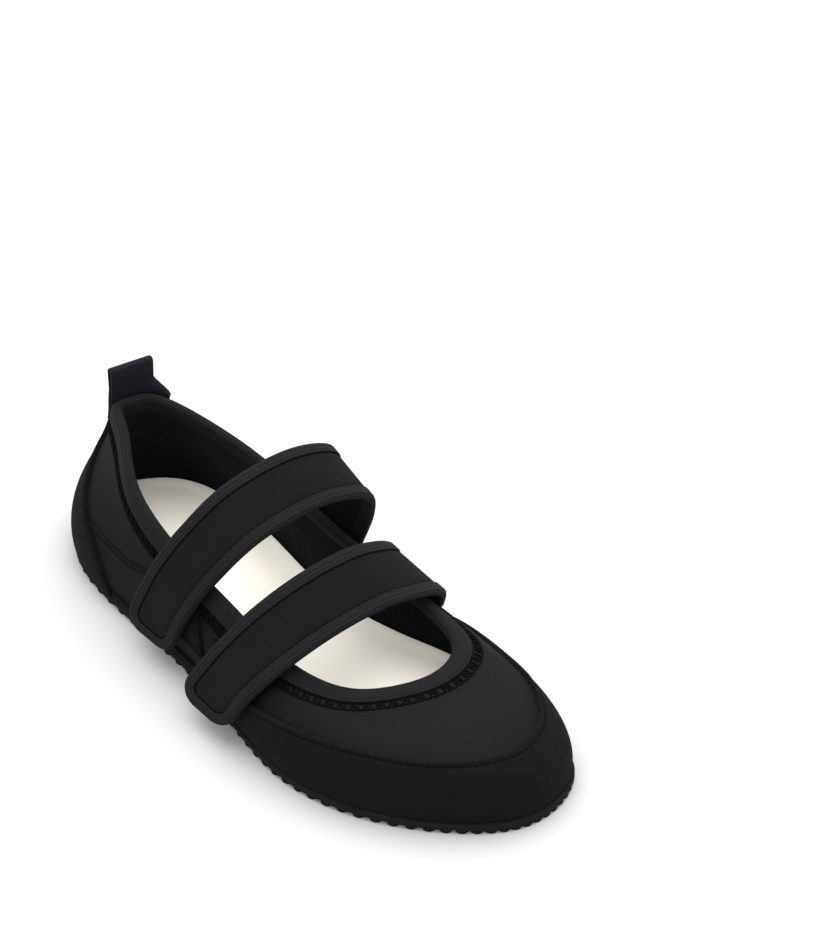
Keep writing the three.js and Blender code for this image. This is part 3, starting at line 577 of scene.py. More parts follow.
class Patch:
    """Stations round the wall by distances down it, with each grid point's distance from every edge."""

    def __init__(self, first, last, low, high, step=1.6, middle_rows=12, closed=False):
        span = LOOP if closed else last - first
        rough = lengths_along(on_wall(np.linspace(first, first + span, 60), 0.5, 0.0))[-1]
        count = int(rough / step)
        if closed:
            self.s = np.linspace(first, first + span, count, endpoint=False)
        else:
            near = FINE_EDGE[:9] / rough
            between = np.linspace(near[-1], 1 - near[-1], count)[1:-1]
            self.s = first + span * np.concatenate([near, between, 1 - near[::-1]])
        bottom, top = low(self.s), high(self.s)
        share = np.linspace(0, 1, 41)
        levels = bottom[:, None] + (top - bottom)[:, None] * share
        curve = wall(self.s[:, None], levels)
        steps = np.linalg.norm(np.diff(curve, axis=1), axis=2)
        run = np.concatenate([np.zeros((len(self.s), 1)), np.cumsum(steps, 1)], 1)
        self.length = run[:, -1]
        near = squeezed_edge(self.length)
        far = self.length[:, None] - near[:, ::-1]
        middle = mix(near[:, -1:], far[:, :1], np.linspace(0, 1, middle_rows + 2)[1:-1])
        self.from_top = np.concatenate([near, middle, far], 1)
        self.from_low = self.length[:, None] - self.from_top
        self.run, self.levels = run, levels
        self.v = self.height_at(self.from_top)
        round_way = lengths_along(wall(self.s, 0.5))
        ends = np.minimum(round_way, round_way[-1] - round_way)
        self.from_end = np.broadcast_to(FAR_AWAY if closed else ends[:, None], self.v.shape)

    def height_at(self, from_top):
        """The height v at given distances below the upper seam, one row for each station."""
        rows = zip(self.length[:, None] - from_top, self.run, self.levels)
        return np.array([np.interp(up, run, levels) for up, run, levels in rows])

    def line_below_top(self, millimetres, depth, ends):
        """Points and normals along a line below the upper seam, some columns short at both ends."""
        s = self.s[ends:-ends]
        v = self.height_at(np.full((len(self.s), 1), millimetres))[ends:-ends, 0]
        return on_wall(s, v, depth), wall_frame(s, v)[1]

    def plate(self, face, back):
        s = self.s[:, None]
        return on_wall(s, self.v, face), on_wall(s, self.v, np.broadcast_to(back, self.v.shape))


# %% [markdown]
# ## Finishes of the upper
# All cloths here are nearly black, so they differ by roughness, sheen and relief. Suede has a short nap: a
# very rough surface with a soft sheen and faint brushed patches. The stretch cloth is a fine tight knit
# with a smoother face. The tapes are ribbed along their length, and glints of single threads in them are
# painted into their colour. The lining is an open weave whose staggered knots show as rows of dots: the
# knots are raised and smoother, and their lighter colour is a painted highlight.

# %% Suede, knit, lining and tapes
def suede(name, dark, light, nap):
    made = Finish(name, Specular_IOR_Level=0.025, Sheen_Weight=0.012, Sheen_Roughness=0.6)
    flat = made.cloth_map()
    patches = made.noise(flat, 0.045, 3.0, 0.6)
    fibre = made.noise(made.stretched(flat, 1.0, 1.6), nap, 3.0, 0.7)
    made.colour(made.shades((patches * 0.45 + fibre * 0.75 - 0.1).clamp(0, 1), dark, light))
    made.rough((0.86 + fibre * 0.14).clamp(0, 1))
    return made.bump(fibre + patches * 0.8, 0.28)


def stretch_knit(name, dark, light):
    made = Finish(name, Specular_IOR_Level=0.06)
    flat = made.cloth_map()
    along, across = made.along_and_across(flat)
    soft = made.noise(flat, 0.03, 2.0)
    wales = along.wave(0.55) * across.wave(0.8)
    grain = made.noise(flat, 1.7, 2.0, 0.6)
    made.colour(made.shades((soft * 0.6 + grain * 0.5).clamp(0, 1), dark, light))
    made.rough((0.52 + grain * 0.16).clamp(0, 1))
    return made.bump(wales * 0.5 + grain * 0.5, 0.10)


def woven_lining(name, dark, light):
    made = Finish(name, Specular_IOR_Level=0.08)
    flat = made.cloth_map()
    along, across = made.along_and_across(flat)
    pitch = 1.25
    rows = (along + across * 0.5).wave(pitch) * (along - across * 0.5).wave(pitch)
    knots = ((rows - 0.42) * 3.2).clamp(0, 1)
    # The knots are the weave's real relief and smoothness; their lighter colour is a painted highlight, made
    # uneven at random.
    uneven_highlight = made.noise(flat, 0.12, 2.0)
    made.colour(made.shades((knots * (0.45 + uneven_highlight)).clamp(0, 1), dark, light))
    made.rough((0.95 - knots * 0.25).clamp(0, 1))
    return made.bump(knots, 0.30)


def ribbed_tape(name, dark, light, ribs, cross, glint_strength):
    made = Finish(name, Specular_IOR_Level=0.04, Sheen_Weight=0.01)
    flat = made.cloth_map()
    along, across = made.along_and_across(flat)
    rib = across.wave(ribs)
    weave = along.wave(cross)
    threads = made.noise(made.stretched(flat, 1.0, 2.2), 1.4, 3.0, 0.75)
    # Painted glints: the thread noise, scaled by the last argument, brightens single threads in the colour as
    # if they caught the light.
    bright = ((threads - 0.5) * glint_strength + rib * 0.25 + weave * 0.12 + 0.25).clamp(0, 1)
    made.colour(made.shades(bright, dark, light))
    made.rough((0.85 - bright * 0.25).clamp(0, 1))
    return made.bump(rib * 0.5 + weave * 0.25 + threads * 0.9, 0.22)


SUEDE = suede("suede_overlay", (0.0018, 0.0018, 0.0019), (0.0062, 0.0062, 0.0064), 1.25)
STRAP_SUEDE = suede("strap_suede", (0.0022, 0.0022, 0.0023), (0.0076, 0.0076, 0.0079), 1.5)
KNIT = stretch_knit("smooth_panel", (0.0016, 0.0016, 0.0017), (0.0034, 0.0034, 0.0035))
# The lining's light colour is the painted highlight on its knots.
LINING = woven_lining("woven_lining", (0.002, 0.002, 0.0021), (0.022, 0.022, 0.0225))
# The last number of each tape sets the strength of its painted thread glints.
BINDING = ribbed_tape("collar_tape", (0.0028, 0.0028, 0.0029), (0.0115, 0.0115, 0.012), 1.4, 0.7, 2.0)
TAPE = ribbed_tape("strap_tape", (0.002, 0.002, 0.0022), (0.015, 0.015, 0.0162), 1.7, 0.8, 2.6)
THREAD = Finish("black_thread", Base_Color=(0.0009, 0.0009, 0.001, 1), Roughness=0.7, Specular_IOR_Level=0.04)

# %% [markdown]
# ## Vamp, quarters, lining
# The vamp and the four quarter panels are the smooth skin of the shoe. They meet in curved seams that are
# sewn down with two rows of thread. The lining behind them is one continuous bag here: its inner face is
# what shows.

# %% Seams between the panels
VAMP_START, VAMP_END = 5.05, 12.2
OUTER_SEAM = [[1.7, 0.32], [2.1, 0.35], [2.5, 0.38], [3.0, 0.43], [3.4, 0.54], [3.8, 0.74], [4.1, 1.0]]
SEAM_START, SEAM_END = OUTER_SEAM[0][0], OUTER_SEAM[-1][0]
HIDDEN_SLOPE = [[0.02, 0.0], [1.1, 0.0], [1.7, 0.32]]
seam_height = open_curve(OUTER_SEAM)
hidden_height = open_curve(HIDDEN_SLOPE)
COLLAR_TUCK = 0.3
LEAST_HEIGHT = 0.02
STATION_GAP = 0.02
FRONT_QUARTER_START = 1.3


def top_line(s):
    return below_top(s, COLLAR_TUCK)


def sole_line(s):
    return np.zeros_like(s)


def panel_face(patch):
    """Depth of a panel's face, which only dips at its cut edges."""
    edge = np.minimum(np.minimum(patch.from_top, patch.from_low), patch.from_end)
    return -rounding(edge, PANEL_ROUNDING)


def smooth_panel(name, first, last, low, high):
    patch = Patch(first, last, low, high)
    face, back = patch.plate(panel_face(patch), -PANEL)
    ribbon(name, face, back, "shoe", "smooth_panel", KNIT, [name])


def quarter(side, word):
    """Rear and front panel of one side; a panel keeps a least height where its two seams meet."""
    reach = lambda s: s if side < 0 else LOOP - s
    span = lambda a, b: (a, b) if side < 0 else (LOOP - b, LOOP - a)
    hidden = lambda s: np.maximum(hidden_height(reach(s)), 0)
    seam = lambda s: np.where(reach(s) < SEAM_START, hidden(s), seam_height(reach(s)))
    rear_top = lambda s: np.maximum(top_line(s), seam(s) + LEAST_HEIGHT)
    below_seam = lambda s: np.minimum(np.maximum(seam(s), LEAST_HEIGHT), top_line(s))
    front_top = lambda s: np.where(reach(s) >= SEAM_END, top_line(s), below_seam(s))
    vamp_side = VAMP_START if side < 0 else LOOP - VAMP_END
    smooth_panel(f"quarter_{word}_rear", *span(0.0, SEAM_END - STATION_GAP), seam, rear_top)
    smooth_panel(f"quarter_{word}_front", *span(FRONT_QUARTER_START, vamp_side), sole_line, front_top)


smooth_panel("vamp", VAMP_START, VAMP_END, sole_line, top_line)
quarter(-1, "outer")
quarter(1, "inner")
lining = Patch(0, LOOP, sole_line, top_line, step=1.6, middle_rows=16, closed=True)
face, back = lining.plate(-PANEL - 0.1, LINING_FACE)
ribbon("lining", face, back, "shoe", "woven_lining", LINING, ["vamp_lining", "quarter_lining"], closed=True)
print("upper skin: vamp, four quarters and lining,", len(lining.s), "columns round the lining")


# %% Double seam on both quarters
SEAM_STITCH = dict(pitch=2.3, gap=0.5, radius=0.26, rise=0.16)
SEAM_ROWS = (-0.021, 0.021)


def seam_stitches(side):
    reach = np.linspace(SEAM_START + 0.05, SEAM_END - 0.12, 240)
    s = reach if side < 0 else LOOP - reach
    parts = []
    for offset in SEAM_ROWS:
        v = seam_height(reach) + offset
        parts.append(running_stitch(on_wall(s, v, 0.05), wall_frame(s, v)[1], **SEAM_STITCH))
    return join_parts(parts)


for side, word in ((-1, "outer"), (1, "inner")):
    new_piece(f"quarter_{word}_stitches", *seam_stitches(side), "shoe", "smooth_panel", THREAD)

# %% [markdown]
# ## Toe rand, heel counter and foxing
# These suede overlays wrap the shoe just above the sole. Their upper edge is folded under and sewn, which
# leaves a raised welt a little over two millimetres wide with a groove and a row of stitches below it. The
# fold is part of the mesh, so it catches a line of light along its crest.

# %% Folded suede overlays
OVERLAY = 1.25
FOLD_WIDTH = 2.3
FOLD_RISE = 0.45
OVERLAY_BACK = 0.04
OVERLAY_STITCH = dict(pitch=2.4, gap=0.7, radius=0.2, rise=0.12)
STITCH_DEPTH = OVERLAY - 0.12


def folded_face(from_fold, from_cut):
    """Depth of an overlay's face: a rounded crest at the folded edge, a stitched groove, then the flat."""
    crest = FOLD_RISE * (1 - ease((from_fold - FOLD_WIDTH * 0.55) / (FOLD_WIDTH * 0.55)))
    groove = 0.28 * np.exp(-(((from_fold - FOLD_WIDTH - 0.35) / 0.45) ** 2))
    return OVERLAY + crest - groove - rounding(from_fold, 0.75) - rounding(from_cut, 0.5)


RAND_START, RAND_END = 4.75, 14.28
RAND_EDGE = [
    [4.75, 0.3], [5.5, 0.42], [6.4, 0.52], [7.1, 0.55], [8, 0.5], [9, 0.47],
    [9.7, 0.49], [10.3, 0.54], [11.2, 0.56], [12, 0.46], [13, 0.3], [14.28, 0.13],
]
rand = Patch(RAND_START, RAND_END, sole_line, open_curve(RAND_EDGE), step=1.3, middle_rows=14)
rand_cut = np.minimum(rand.from_low, rand.from_end)
face, back = rand.plate(folded_face(rand.from_top, rand_cut), OVERLAY_BACK)
ribbon("toe_rand", face, back, "shoe", "suede_overlay", SUEDE, ["toe_rand"])
rand_row = running_stitch(*rand.line_below_top(FOLD_WIDTH + 0.3, STITCH_DEPTH, 6), **OVERLAY_STITCH)
new_piece("toe_rand_stitches", *rand_row, "shoe", "suede_overlay", THREAD)
print("toe rand", round(lengths_along(wall(rand.s, 0.3))[-1]), "mm along the wall")

# %% Heel counter
COUNTER_EDGE = [
    [0.0, 2.66], [0.16, 2.55], [0.26, 2.42], [0.34, 2.25], [0.4, 2.01], [0.5, 1.7],
    [0.62, 1.4], [0.72, 1.17], [0.83, 1.07], [1, 1.07],
]
COUNTER_TUCK = BINDING_LEG - 0.4
COUNTER_HEIGHT = 50
counter_reach = open_curve(COUNTER_EDGE)


def half_lengths(levels):
    """Length of the wall from the middle of the heel to the counter's edge at each level."""
    ends = zip(counter_reach(levels), levels)
    lines = [wall(np.linspace(0, reach, 30), level * 0.9) for reach, level in ends]
    return np.array([lengths_along(line)[-1] for line in lines])


def counter_grid():
    """Rows run round the heel between the two front edges, which carry the fold."""
    levels = np.linspace(0, 1, 70)
    half_length = half_lengths(levels)
    near = squeezed_edge(half_length)
    far = mix(near[:, -1:], half_length[:, None], np.linspace(0, 1, 46)[1:])
    from_edge = np.concatenate([near, far], 1)
    share = 1 - from_edge / half_length[:, None]
    share = np.concatenate([-share[:, :-1], share[:, ::-1]], 1)
    from_edge = np.concatenate([from_edge[:, :-1], from_edge[:, ::-1]], 1)
    s = share * counter_reach(levels)[:, None]
    v = levels[:, None] * below_top(s, COUNTER_TUCK)
    cut = np.minimum(levels, 1 - levels)[:, None] * COUNTER_HEIGHT + 0 * s
    return s, v, from_edge, cut


def counter_stitches(side):
    levels = np.linspace(0.03, 0.97, 160)
    s = side * counter_reach(levels) * (1 - (FOLD_WIDTH + 0.4) / half_lengths(levels))
    v = levels * below_top(s, COUNTER_TUCK)
    return running_stitch(on_wall(s, v, STITCH_DEPTH), wall_frame(s, v)[1], **OVERLAY_STITCH)


s, v, from_edge, cut = counter_grid()
ribbon("heel_counter", on_wall(s, v, folded_face(from_edge, cut)), on_wall(s, v, 0 * s + OVERLAY_BACK),
       "shoe", "suede_overlay", SUEDE, ["heel_counter"])
counter_rows = join_parts([counter_stitches(side) for side in (-1, 1)])
new_piece("heel_counter_stitches", *counter_rows, "shoe", "suede_overlay", THREAD)
print("heel counter", round(2 * half_lengths(np.array([0.0]))[0]), "mm round at the sole")

# %% Foxing strip
FOXING_EDGE = 0.11
foxing_first, foxing_last = COUNTER_EDGE[0][1] + STATION_GAP, RAND_START + STATION_GAP
foxing_share = lambda s: (s - foxing_first) / (foxing_last - foxing_first)
foxing_height = lambda s: mix(FOXING_EDGE / 2, FOXING_EDGE, foxing_share(s))
foxing = Patch(foxing_first, foxing_last, sole_line, foxing_height, middle_rows=3)
face, back = foxing.plate(OVERLAY - rounding(foxing.from_top, 0.6), OVERLAY_BACK)
ribbon("foxing_outer", face, back, "shoe", "suede_overlay", SUEDE, ["foxing_outer"])
print("foxing strip", round(lengths_along(wall(foxing.s, 0.0))[-1]), "mm long")

# %% [markdown]
# ## Collar binding and its ladder stitch
# A soft elastic tape is folded over the top line all the way round and held down by a machine's ladder
# stitch: two rows of thread with rungs between them. The tape is a rounded hook in section, and the
# ladder's threads stand on the cloth just below its edge.

# %% Folded binding
BINDING_FACE, BINDING_BACK = 1.25, LINING_FACE - 0.75
BINDING_SKIN = 0.7
BINDING_COLUMNS = 420
ROLL_START, ROLL_HEIGHT, BACK_LEG = 0.8, 2.2, 5.0


def binding_line(skin):
    """A line some distance inside the folded tape's outside: [millimetres below the top, depth]."""
    middle, half = (BINDING_FACE + BINDING_BACK) / 2, (BINDING_FACE - BINDING_BACK) / 2 - skin
    leg = np.linspace(BINDING_LEG, ROLL_START, 9)
    swell = BINDING_FACE - 0.55 * (1 - ease((BINDING_LEG - leg) / 1.6)) - skin
    turn = np.linspace(0, np.pi, 13)[1:-1]
    return np.concatenate([
        np.stack([leg, swell], -1),
        np.stack([ROLL_START - (ROLL_HEIGHT - skin) * np.sin(turn), middle + half * np.cos(turn)], -1),
        np.stack([np.linspace(ROLL_START, BACK_LEG, 7), np.full(7, BINDING_BACK + skin)], -1),
    ])


def along_top(section):
    """A section of [below the top, depth] carried round the top line."""
    s = np.linspace(0, LOOP, BINDING_COLUMNS, endpoint=False)[:, None]
    down, depth = section[:, 0][None], section[:, 1][None]
    v = 1 - np.maximum(down, 0) / np.linalg.norm(wall_frame(s, 1.0)[2], axis=-1)
    point, normal, up = wall_frame(s + 0 * down, v)
    return point + normal * depth[..., None] + unit(up) * np.maximum(-down, 0)[..., None]


outside, inside = (along_top(binding_line(skin)) for skin in (0, BINDING_SKIN))
ribbon("collar_binding", outside, inside, "shoe", "collar_tape", BINDING, ["collar_binding"], closed=True)


# %% Ladder stitch below the binding
LADDER_NEAR, LADDER_FAR = 6.4, 9.9
LADDER_PITCH = 2.1
LADDER_LIFT = 0.12


def ladder():
    """Two rows of thread, a rung at every knot and a slanting thread at every other one."""
    s = np.linspace(0, LOOP, 2400)
    top = wall(s, 1.0)
    run = lengths_along(top)
    count = 2 * int(run[-1] / LADDER_PITCH / 2)
    knot = np.interp(np.linspace(0, run[-1], count, endpoint=False), run, s)
    near_v, far_v = below_top(knot, LADDER_NEAR), below_top(knot, LADDER_FAR)
    near, far = on_wall(knot, near_v, LADDER_LIFT), on_wall(knot, far_v, LADDER_LIFT)
    out = wall_frame(knot, near_v)[1]
    parts = [
        thread_mesh(near, np.roll(near, -1, 0), out, 0.34, 0.2),
        thread_mesh(far, np.roll(far, -1, 0), out, 0.34, 0.2),
        thread_mesh(near, far, out, 0.4, 0.35),
        thread_mesh(near[::2], np.roll(far, -1, 0)[::2], out[::2], 0.3, 0.4),
    ]
    return join_parts(parts), count


threads, rungs = ladder()
new_piece("collar_ladder_stitch", *threads, "shoe", "collar_tape", THREAD)
print("binding and a ladder stitch of", rungs, "rungs")

# %% [markdown]
# ## Straps
# Each strap is a ruled ribbon: two smooth lines, its rear and front edge, and everything between them
# straight across. It rises off the outer wall, arches over the foot and goes down the inner wall to its
# sewn root. Suede lies on top, lining underneath, and a ribbed tape is folded round the edge and sewn with
# one row. The strap peels off its fastener at the outer side and swings about its root. It is built as a
# long outer part and a short inner part, which meet on the inner side, on the rigid stretch between the
# joints.

# %% Strap sizes in millimetres
STRAP_WIDTH = 27.5
TAPE_LEG = 5.0
TIP_RADIUS = 9.5
OUTER_STANDOFF, INNER_STANDOFF = 3.4, 2.95
# A strap's edge has thirteen points; the eighth, in the middle of the arch, parts outer side from inner.
STRAP_TOP = 7 / 12
STRAPS = {
    "rear": dict(
        at=0.409, lean=18, yaw=3, tip=10, peel=35, swing=26, root=17, wall_top=38, split=46,
        arch=[[-0.352, 0.87], [-0.178, 1.14], [0.093, 1.24], [0.325, 1.12], [0.386, 0.89]],
        flare=[2.6, 1.8, 0.8, 0.2, 0],
    ),
    "front": dict(
        at=0.601, lean=24, yaw=-1, tip=7.7, peel=30, swing=29, root=23, wall_top=31, split=43,
        arch=[[-0.375, 0.735], [-0.165, 0.885], [0.07, 0.905], [0.235, 0.81], [0.347, 0.692]],
        flare=[7.5, 5, 2.4, 0.5, 0],
    ),
}


# %% Edge lines and the ribbon between them
def smooth_line(points):
    """A smooth curve through points, evenly timed from 0 to 1 whatever their spacing."""
    points = np.array(points)
    ends = np.concatenate([[2 * points[0] - points[1]], points, [2 * points[-1] - points[-2]]])

    def at(t):
        place = np.clip(np.asarray(t, float), 0, 1) * (len(points) - 1)
        i = np.minimum(np.floor(place).astype(int), len(points) - 2)
        f = (place - i)[..., None]
        before, here, ahead, after = (ends[i + k] for k in range(4))
        rise, fall = (ahead - before) / 2, (after - here) / 2
        square, cube = 3 * (ahead - here) - 2 * rise - fall, 2 * (here - ahead) + rise + fall
        return here + rise * f + square * f**2 + cube * f**3

    return at


def beside(x, z, side):
    """The y at a given x and z that clears one side of the shoe by the strap's stand-off there."""
    standoff = OUTER_STANDOFF if side < 0 else INNER_STANDOFF
    z = max(z, FEATHER + 1)
    first, last = (1.6, 7.8) if side < 0 else (10.2, 15.9)
    s = np.linspace(first, last, 400)
    v = np.minimum(bisect(lambda t: wall(s, t)[..., 2], np.full(400, z), 0, 1), 1)
    along = wall(s, v)[:, 0]
    order = np.argsort(along)
    here = np.interp(x, along[order], s[order])
    height = np.interp(here, s, v)
    point, normal, _ = wall_frame(here, height)
    return float(point[1] + side * standoff / max(abs(normal[1]), 0.5))


class Strap:
    """A ribbon between two edge lines: places on it are millimetres across and t from tip (0) to root (1)."""

    def __init__(self, sizes):
        self.sizes = sizes
        self.rear, self.front = (smooth_line(self.edge_points(across)) for across in (0, 1))

    def edge_points(self, across):
        z = self.sizes
        lean, yaw = math.tan(math.radians(z["lean"])), math.tan(math.radians(z["yaw"]))
        width_way = np.array([1, -yaw, -lean]) / math.sqrt(1 + yaw**2 + lean**2)
        shift = width_way * (across - 0.5) * STRAP_WIDTH
        centre_x = lambda y, up: z["at"] * LAST_LENGTH + lean * (up - COLLAR_HEIGHT * 0.75) + yaw * y
        outer_x = lambda up: centre_x(-0.42 * LAST_WIDTH, up) + shift[0]
        inner_x = lambda up: centre_x(0.36 * LAST_WIDTH, up) + shift[0]
        points = []
        for i, flare in enumerate(z["flare"]):
            level = mix(2, z["wall_top"], i / 4)
            x, up = outer_x(level), level + shift[2]
            points.append((x, beside(x, up, -1) - flare, up))
        low, high = z["wall_top"], z["swing"] + 6
        outer_twist = beside(outer_x(low), low + shift[2], -1) - beside(outer_x(low) - shift[0], low, -1)
        inner_twist = beside(inner_x(high), high + shift[2], 1) - beside(inner_x(high) - shift[0], high, 1)
        shares = (0.7 * outer_twist, 0.25 * outer_twist, 0, 0.3 * inner_twist, 0.75 * inner_twist)
        for (over, up), share in zip(z["arch"], shares):
            y, level = over * LAST_WIDTH, up * COLLAR_HEIGHT
            points.append((centre_x(y, level) + shift[0], y + shift[1] + share, level + shift[2]))
        for level in (high, z["root"], z["root"] - 10):
            x, up = inner_x(level), level + shift[2]
            points.append((x, beside(x, up, 1), up))
        return points

    def point(self, across, t):
        rear, front = self.rear(t), self.front(t)
        return rear + (front - rear) * np.asarray(across)[..., None]

    def surface(self, across_mm, t, depth, normals=False):
        across, t = np.broadcast_arrays(np.asarray(across_mm, float) / STRAP_WIDTH, np.asarray(t, float))
        e = 0.003
        along = self.point(across, t + e) - self.point(across, t - e)
        wide = self.front(t) - self.rear(t)
        normal = unit(np.cross(wide, along))
        place = self.point(across, t) + normal * np.broadcast_to(depth, t.shape)[..., None]
        return (place, normal) if normals else place

    def outer_t(self, across_mm, z):
        across, z = np.broadcast_arrays(np.asarray(across_mm, float) / STRAP_WIDTH, np.asarray(z, float))
        return bisect(lambda t: self.point(across, t)[..., 2], z, 0, STRAP_TOP)

    def split_to_root(self, across_mm, columns):
        """t at even steps from the split down to the sewn root, one row for each step."""
        split, root = (self.inner_t(across_mm, self.sizes[end]) for end in ("split", "root"))
        return mix(split, root, np.linspace(0, 1, columns)[:, None])

    def inner_t(self, across_mm, z):
        across, z = np.broadcast_arrays(np.asarray(across_mm, float) / STRAP_WIDTH, np.asarray(z, float))
        return bisect(lambda t: -self.point(across, t)[..., 2], -z, STRAP_TOP, 1)

    def tip_height(self, across_mm, inset):
        """Height of the free end, level with the floor and rounded at both corners."""
        radius = TIP_RADIUS - inset
        near = np.minimum(across_mm, STRAP_WIDTH - across_mm) - inset
        reach = radius - np.clip(near, 0, radius)
        return self.sizes["tip"] + inset + radius - np.sqrt(np.maximum(radius**2 - reach**2, 0))

    def from_edge(self, across_mm, z):
        """Distance in from the strap's cut edge, round the tip as well."""
        x = np.abs(across_mm - STRAP_WIDTH / 2) - (STRAP_WIDTH / 2 - TIP_RADIUS)
        y = TIP_RADIUS - (z - self.sizes["tip"])
        corner = np.hypot(np.maximum(x, 0), np.maximum(y, 0)) + np.minimum(np.maximum(x, y), 0)
        return TIP_RADIUS - corner


both_edges = np.array([0.0, STRAP_WIDTH])
for name, sizes in STRAPS.items():
    strap = Strap(sizes)
    probe = strap.surface(both_edges, strap.inner_t(both_edges, sizes["swing"]), 0.0)
    print(name, "strap crosses its swing joint at", (probe + SHIFT).round(1).tolist())

# %% [markdown]
# ## Strap layers
# The suede shell is slightly pillowed: it dips where the tape is sewn over its edge. The tape's section is
# a rounded hook. Its path runs from the split on the inner side down the rear edge, round the tip and back
# up the front edge.

# %% Plates across the strap
LINING_LOW, LINING_HIGH = -0.25, 0.6
SHELL_LOW, SHELL_HIGH = 0.65, 1.95
SHELL_INSET, LINING_INSET = 0.6, 0.8
TAPE_OVER, TAPE_UNDER = 2.5, -0.8
STRAP_ROWS = np.array([0, 0.2, 0.5, 1.0, 1.8, 2.8, 3.8, 4.4, 4.9, 5.4, 6.0, 6.8])


def strap_rows(inset):
    near = inset + STRAP_ROWS
    between = np.linspace(near[-1], STRAP_WIDTH - near[-1], 16)[1:-1]
    return np.concatenate([near, between, STRAP_WIDTH - near[::-1]])


def long_layer(strap, inset, high, low, columns=170):
    """The long outer part: from the free end over the foot to the split on the inner side."""
    across = strap_rows(inset)[None]
    end = strap.outer_t(across, strap.tip_height(across, inset))
    split = strap.inner_t(across, strap.sizes["split"])
    share = np.linspace(0, 1, columns)[:, None] ** 1.15
    t = mix(end, split, share)
    z = np.where(t < 0.5, strap.point(across / STRAP_WIDTH + 0 * t, t)[..., 2], FAR_AWAY)
    edge = strap.from_edge(across + 0 * t, z)
    return strap.surface(across, t, high(edge)), strap.surface(across, t, low)


def short_layer(strap, inset, high, low, columns=44):
    """The short inner part: from the split down to the sewn root."""
    across = strap_rows(inset)[None]
    t = strap.split_to_root(across, columns)
    edge = np.minimum(across, STRAP_WIDTH - across) + 0 * t
    return strap.surface(across, t, high(edge)), strap.surface(across, t, low)


def lining_face(edge):
    return LINING_HIGH


def pillow(edge):
    """Depth of the suede's face: it dips under the tape."""
    return SHELL_HIGH - 0.4 * (1 - ease((edge - TAPE_LEG + 0.3) / 1.7)) - rounding(edge - 0.5, 0.4)


# %% The tape's section and its path
TAPE_SKIN = 0.5


def tape_section(thickness):
    """Outer and inner line of the hook: [reach in from the edge, depth]."""
    middle, half, bend = (TAPE_OVER + TAPE_UNDER) / 2, (TAPE_OVER - TAPE_UNDER) / 2, 1.5
    legs = np.array([0, 0.04, 0.12, 0.35, 0.7])
    turn = np.linspace(0, np.pi, 11)
    lines = []
    for wall_off in (0, thickness):
        over = np.stack([mix(TAPE_LEG, bend, legs), np.full(5, TAPE_OVER - wall_off)], -1)
        if wall_off == 0:
            over[:2, 1] -= (0.32, 0.1)
        arc_reach = bend - (bend - wall_off) * np.sin(turn)
        arc = np.stack([arc_reach, middle + (half - wall_off) * np.cos(turn)], -1)
        under = np.stack([mix(TAPE_LEG, bend, legs[::-1]), np.full(5, TAPE_UNDER + wall_off)], -1)
        lines.append(np.concatenate([over, arc, under]))
    return lines


def tape_path(strap, reach):
    """Where the tape's section point at this reach runs: across and t along rear edge, tip and front edge."""
    radius, low = TIP_RADIUS, strap.sizes["tip"]
    share = np.linspace(1, 0, 150)[:, None]
    turn = np.linspace(0, np.pi / 2, 15)[1:, None]
    flat_end = np.linspace(radius, STRAP_WIDTH - radius, 8)[1:, None]
    corner_across = radius - (radius - reach) * np.cos(turn)
    corner_z = low + radius - (radius - reach) * np.sin(turn)
    other = STRAP_WIDTH - reach
    far_corner, far_z = STRAP_WIDTH - corner_across[::-1][1:], corner_z[::-1][1:]
    split = strap.sizes["split"]
    down = lambda edge: mix(strap.outer_t(edge, low + radius), strap.inner_t(edge, split), share)
    across = [reach + 0 * share, corner_across, flat_end + 0 * reach, far_corner, other + 0 * share]
    t = [
        down(reach),
        strap.outer_t(corner_across, corner_z),
        strap.outer_t(flat_end + 0 * reach, low + reach + 0 * flat_end),
        strap.outer_t(far_corner, far_z),
        down(other)[::-1],
    ]
    return np.concatenate(across), np.concatenate(t)


def long_tape(strap):
    faces = []
    for section in tape_section(TAPE_SKIN):
        across, t = tape_path(strap, section[:, 0][None])
        faces.append(strap.surface(across, t, section[:, 1][None]))
    return faces


def short_tapes(strap):
    parts = []
    for rear_side in (True, False):
        faces = []
        for section in tape_section(TAPE_SKIN):
            reach = section[:, 0][None]
            across = reach if rear_side else STRAP_WIDTH - reach
            faces.append(strap.surface(across, strap.split_to_root(across, 40), section[:, 1][None]))
        parts.append(ribbon_mesh(*faces, False))
    return join_parts(parts)


# %% Stitching inside the tape
STITCH_IN = TAPE_LEG + 0.35
STRAP_STITCH = dict(pitch=2.7, gap=0.6, radius=0.26, rise=0.16)


def strap_row(strap, across, t):
    line, normals = strap.surface(across, t, SHELL_HIGH - 0.22, normals=True)
    return running_stitch(line[:, 0], normals[:, 0], **STRAP_STITCH)


def long_stitches(strap):
    return strap_row(strap, *tape_path(strap, np.array([[STITCH_IN]])))


def short_stitches(strap):
    rows = (STITCH_IN, STRAP_WIDTH - STITCH_IN)
    return join_parts([strap_row(strap, across, strap.split_to_root(across, 60)) for across in rows])


# %% [markdown]
# ## Hook and loop
# The hook patch under the tip is a stiff strip of rows of tiny bent hooks; the loop patch on the quarter
# is a field of soft pile, sewn down round its border. At this size both are carried by colour and relief
# on a real raised patch.

# %% Fastener finishes and patches
def pile(name, light, scale, relief):
    made = Finish(name, Specular_IOR_Level=0.03, Sheen_Weight=0.015)
    flat = made.cloth_map()
    tufts = made.noise(flat, scale, 4.0, 0.8)
    made.colour(made.shades(((tufts - 0.35) * 1.8).clamp(0, 1), (0.0008, 0.0008, 0.0008), light))
    made.rough((0.8 + tufts * 0.2).clamp(0, 1))
    return made.bump(tufts, relief)


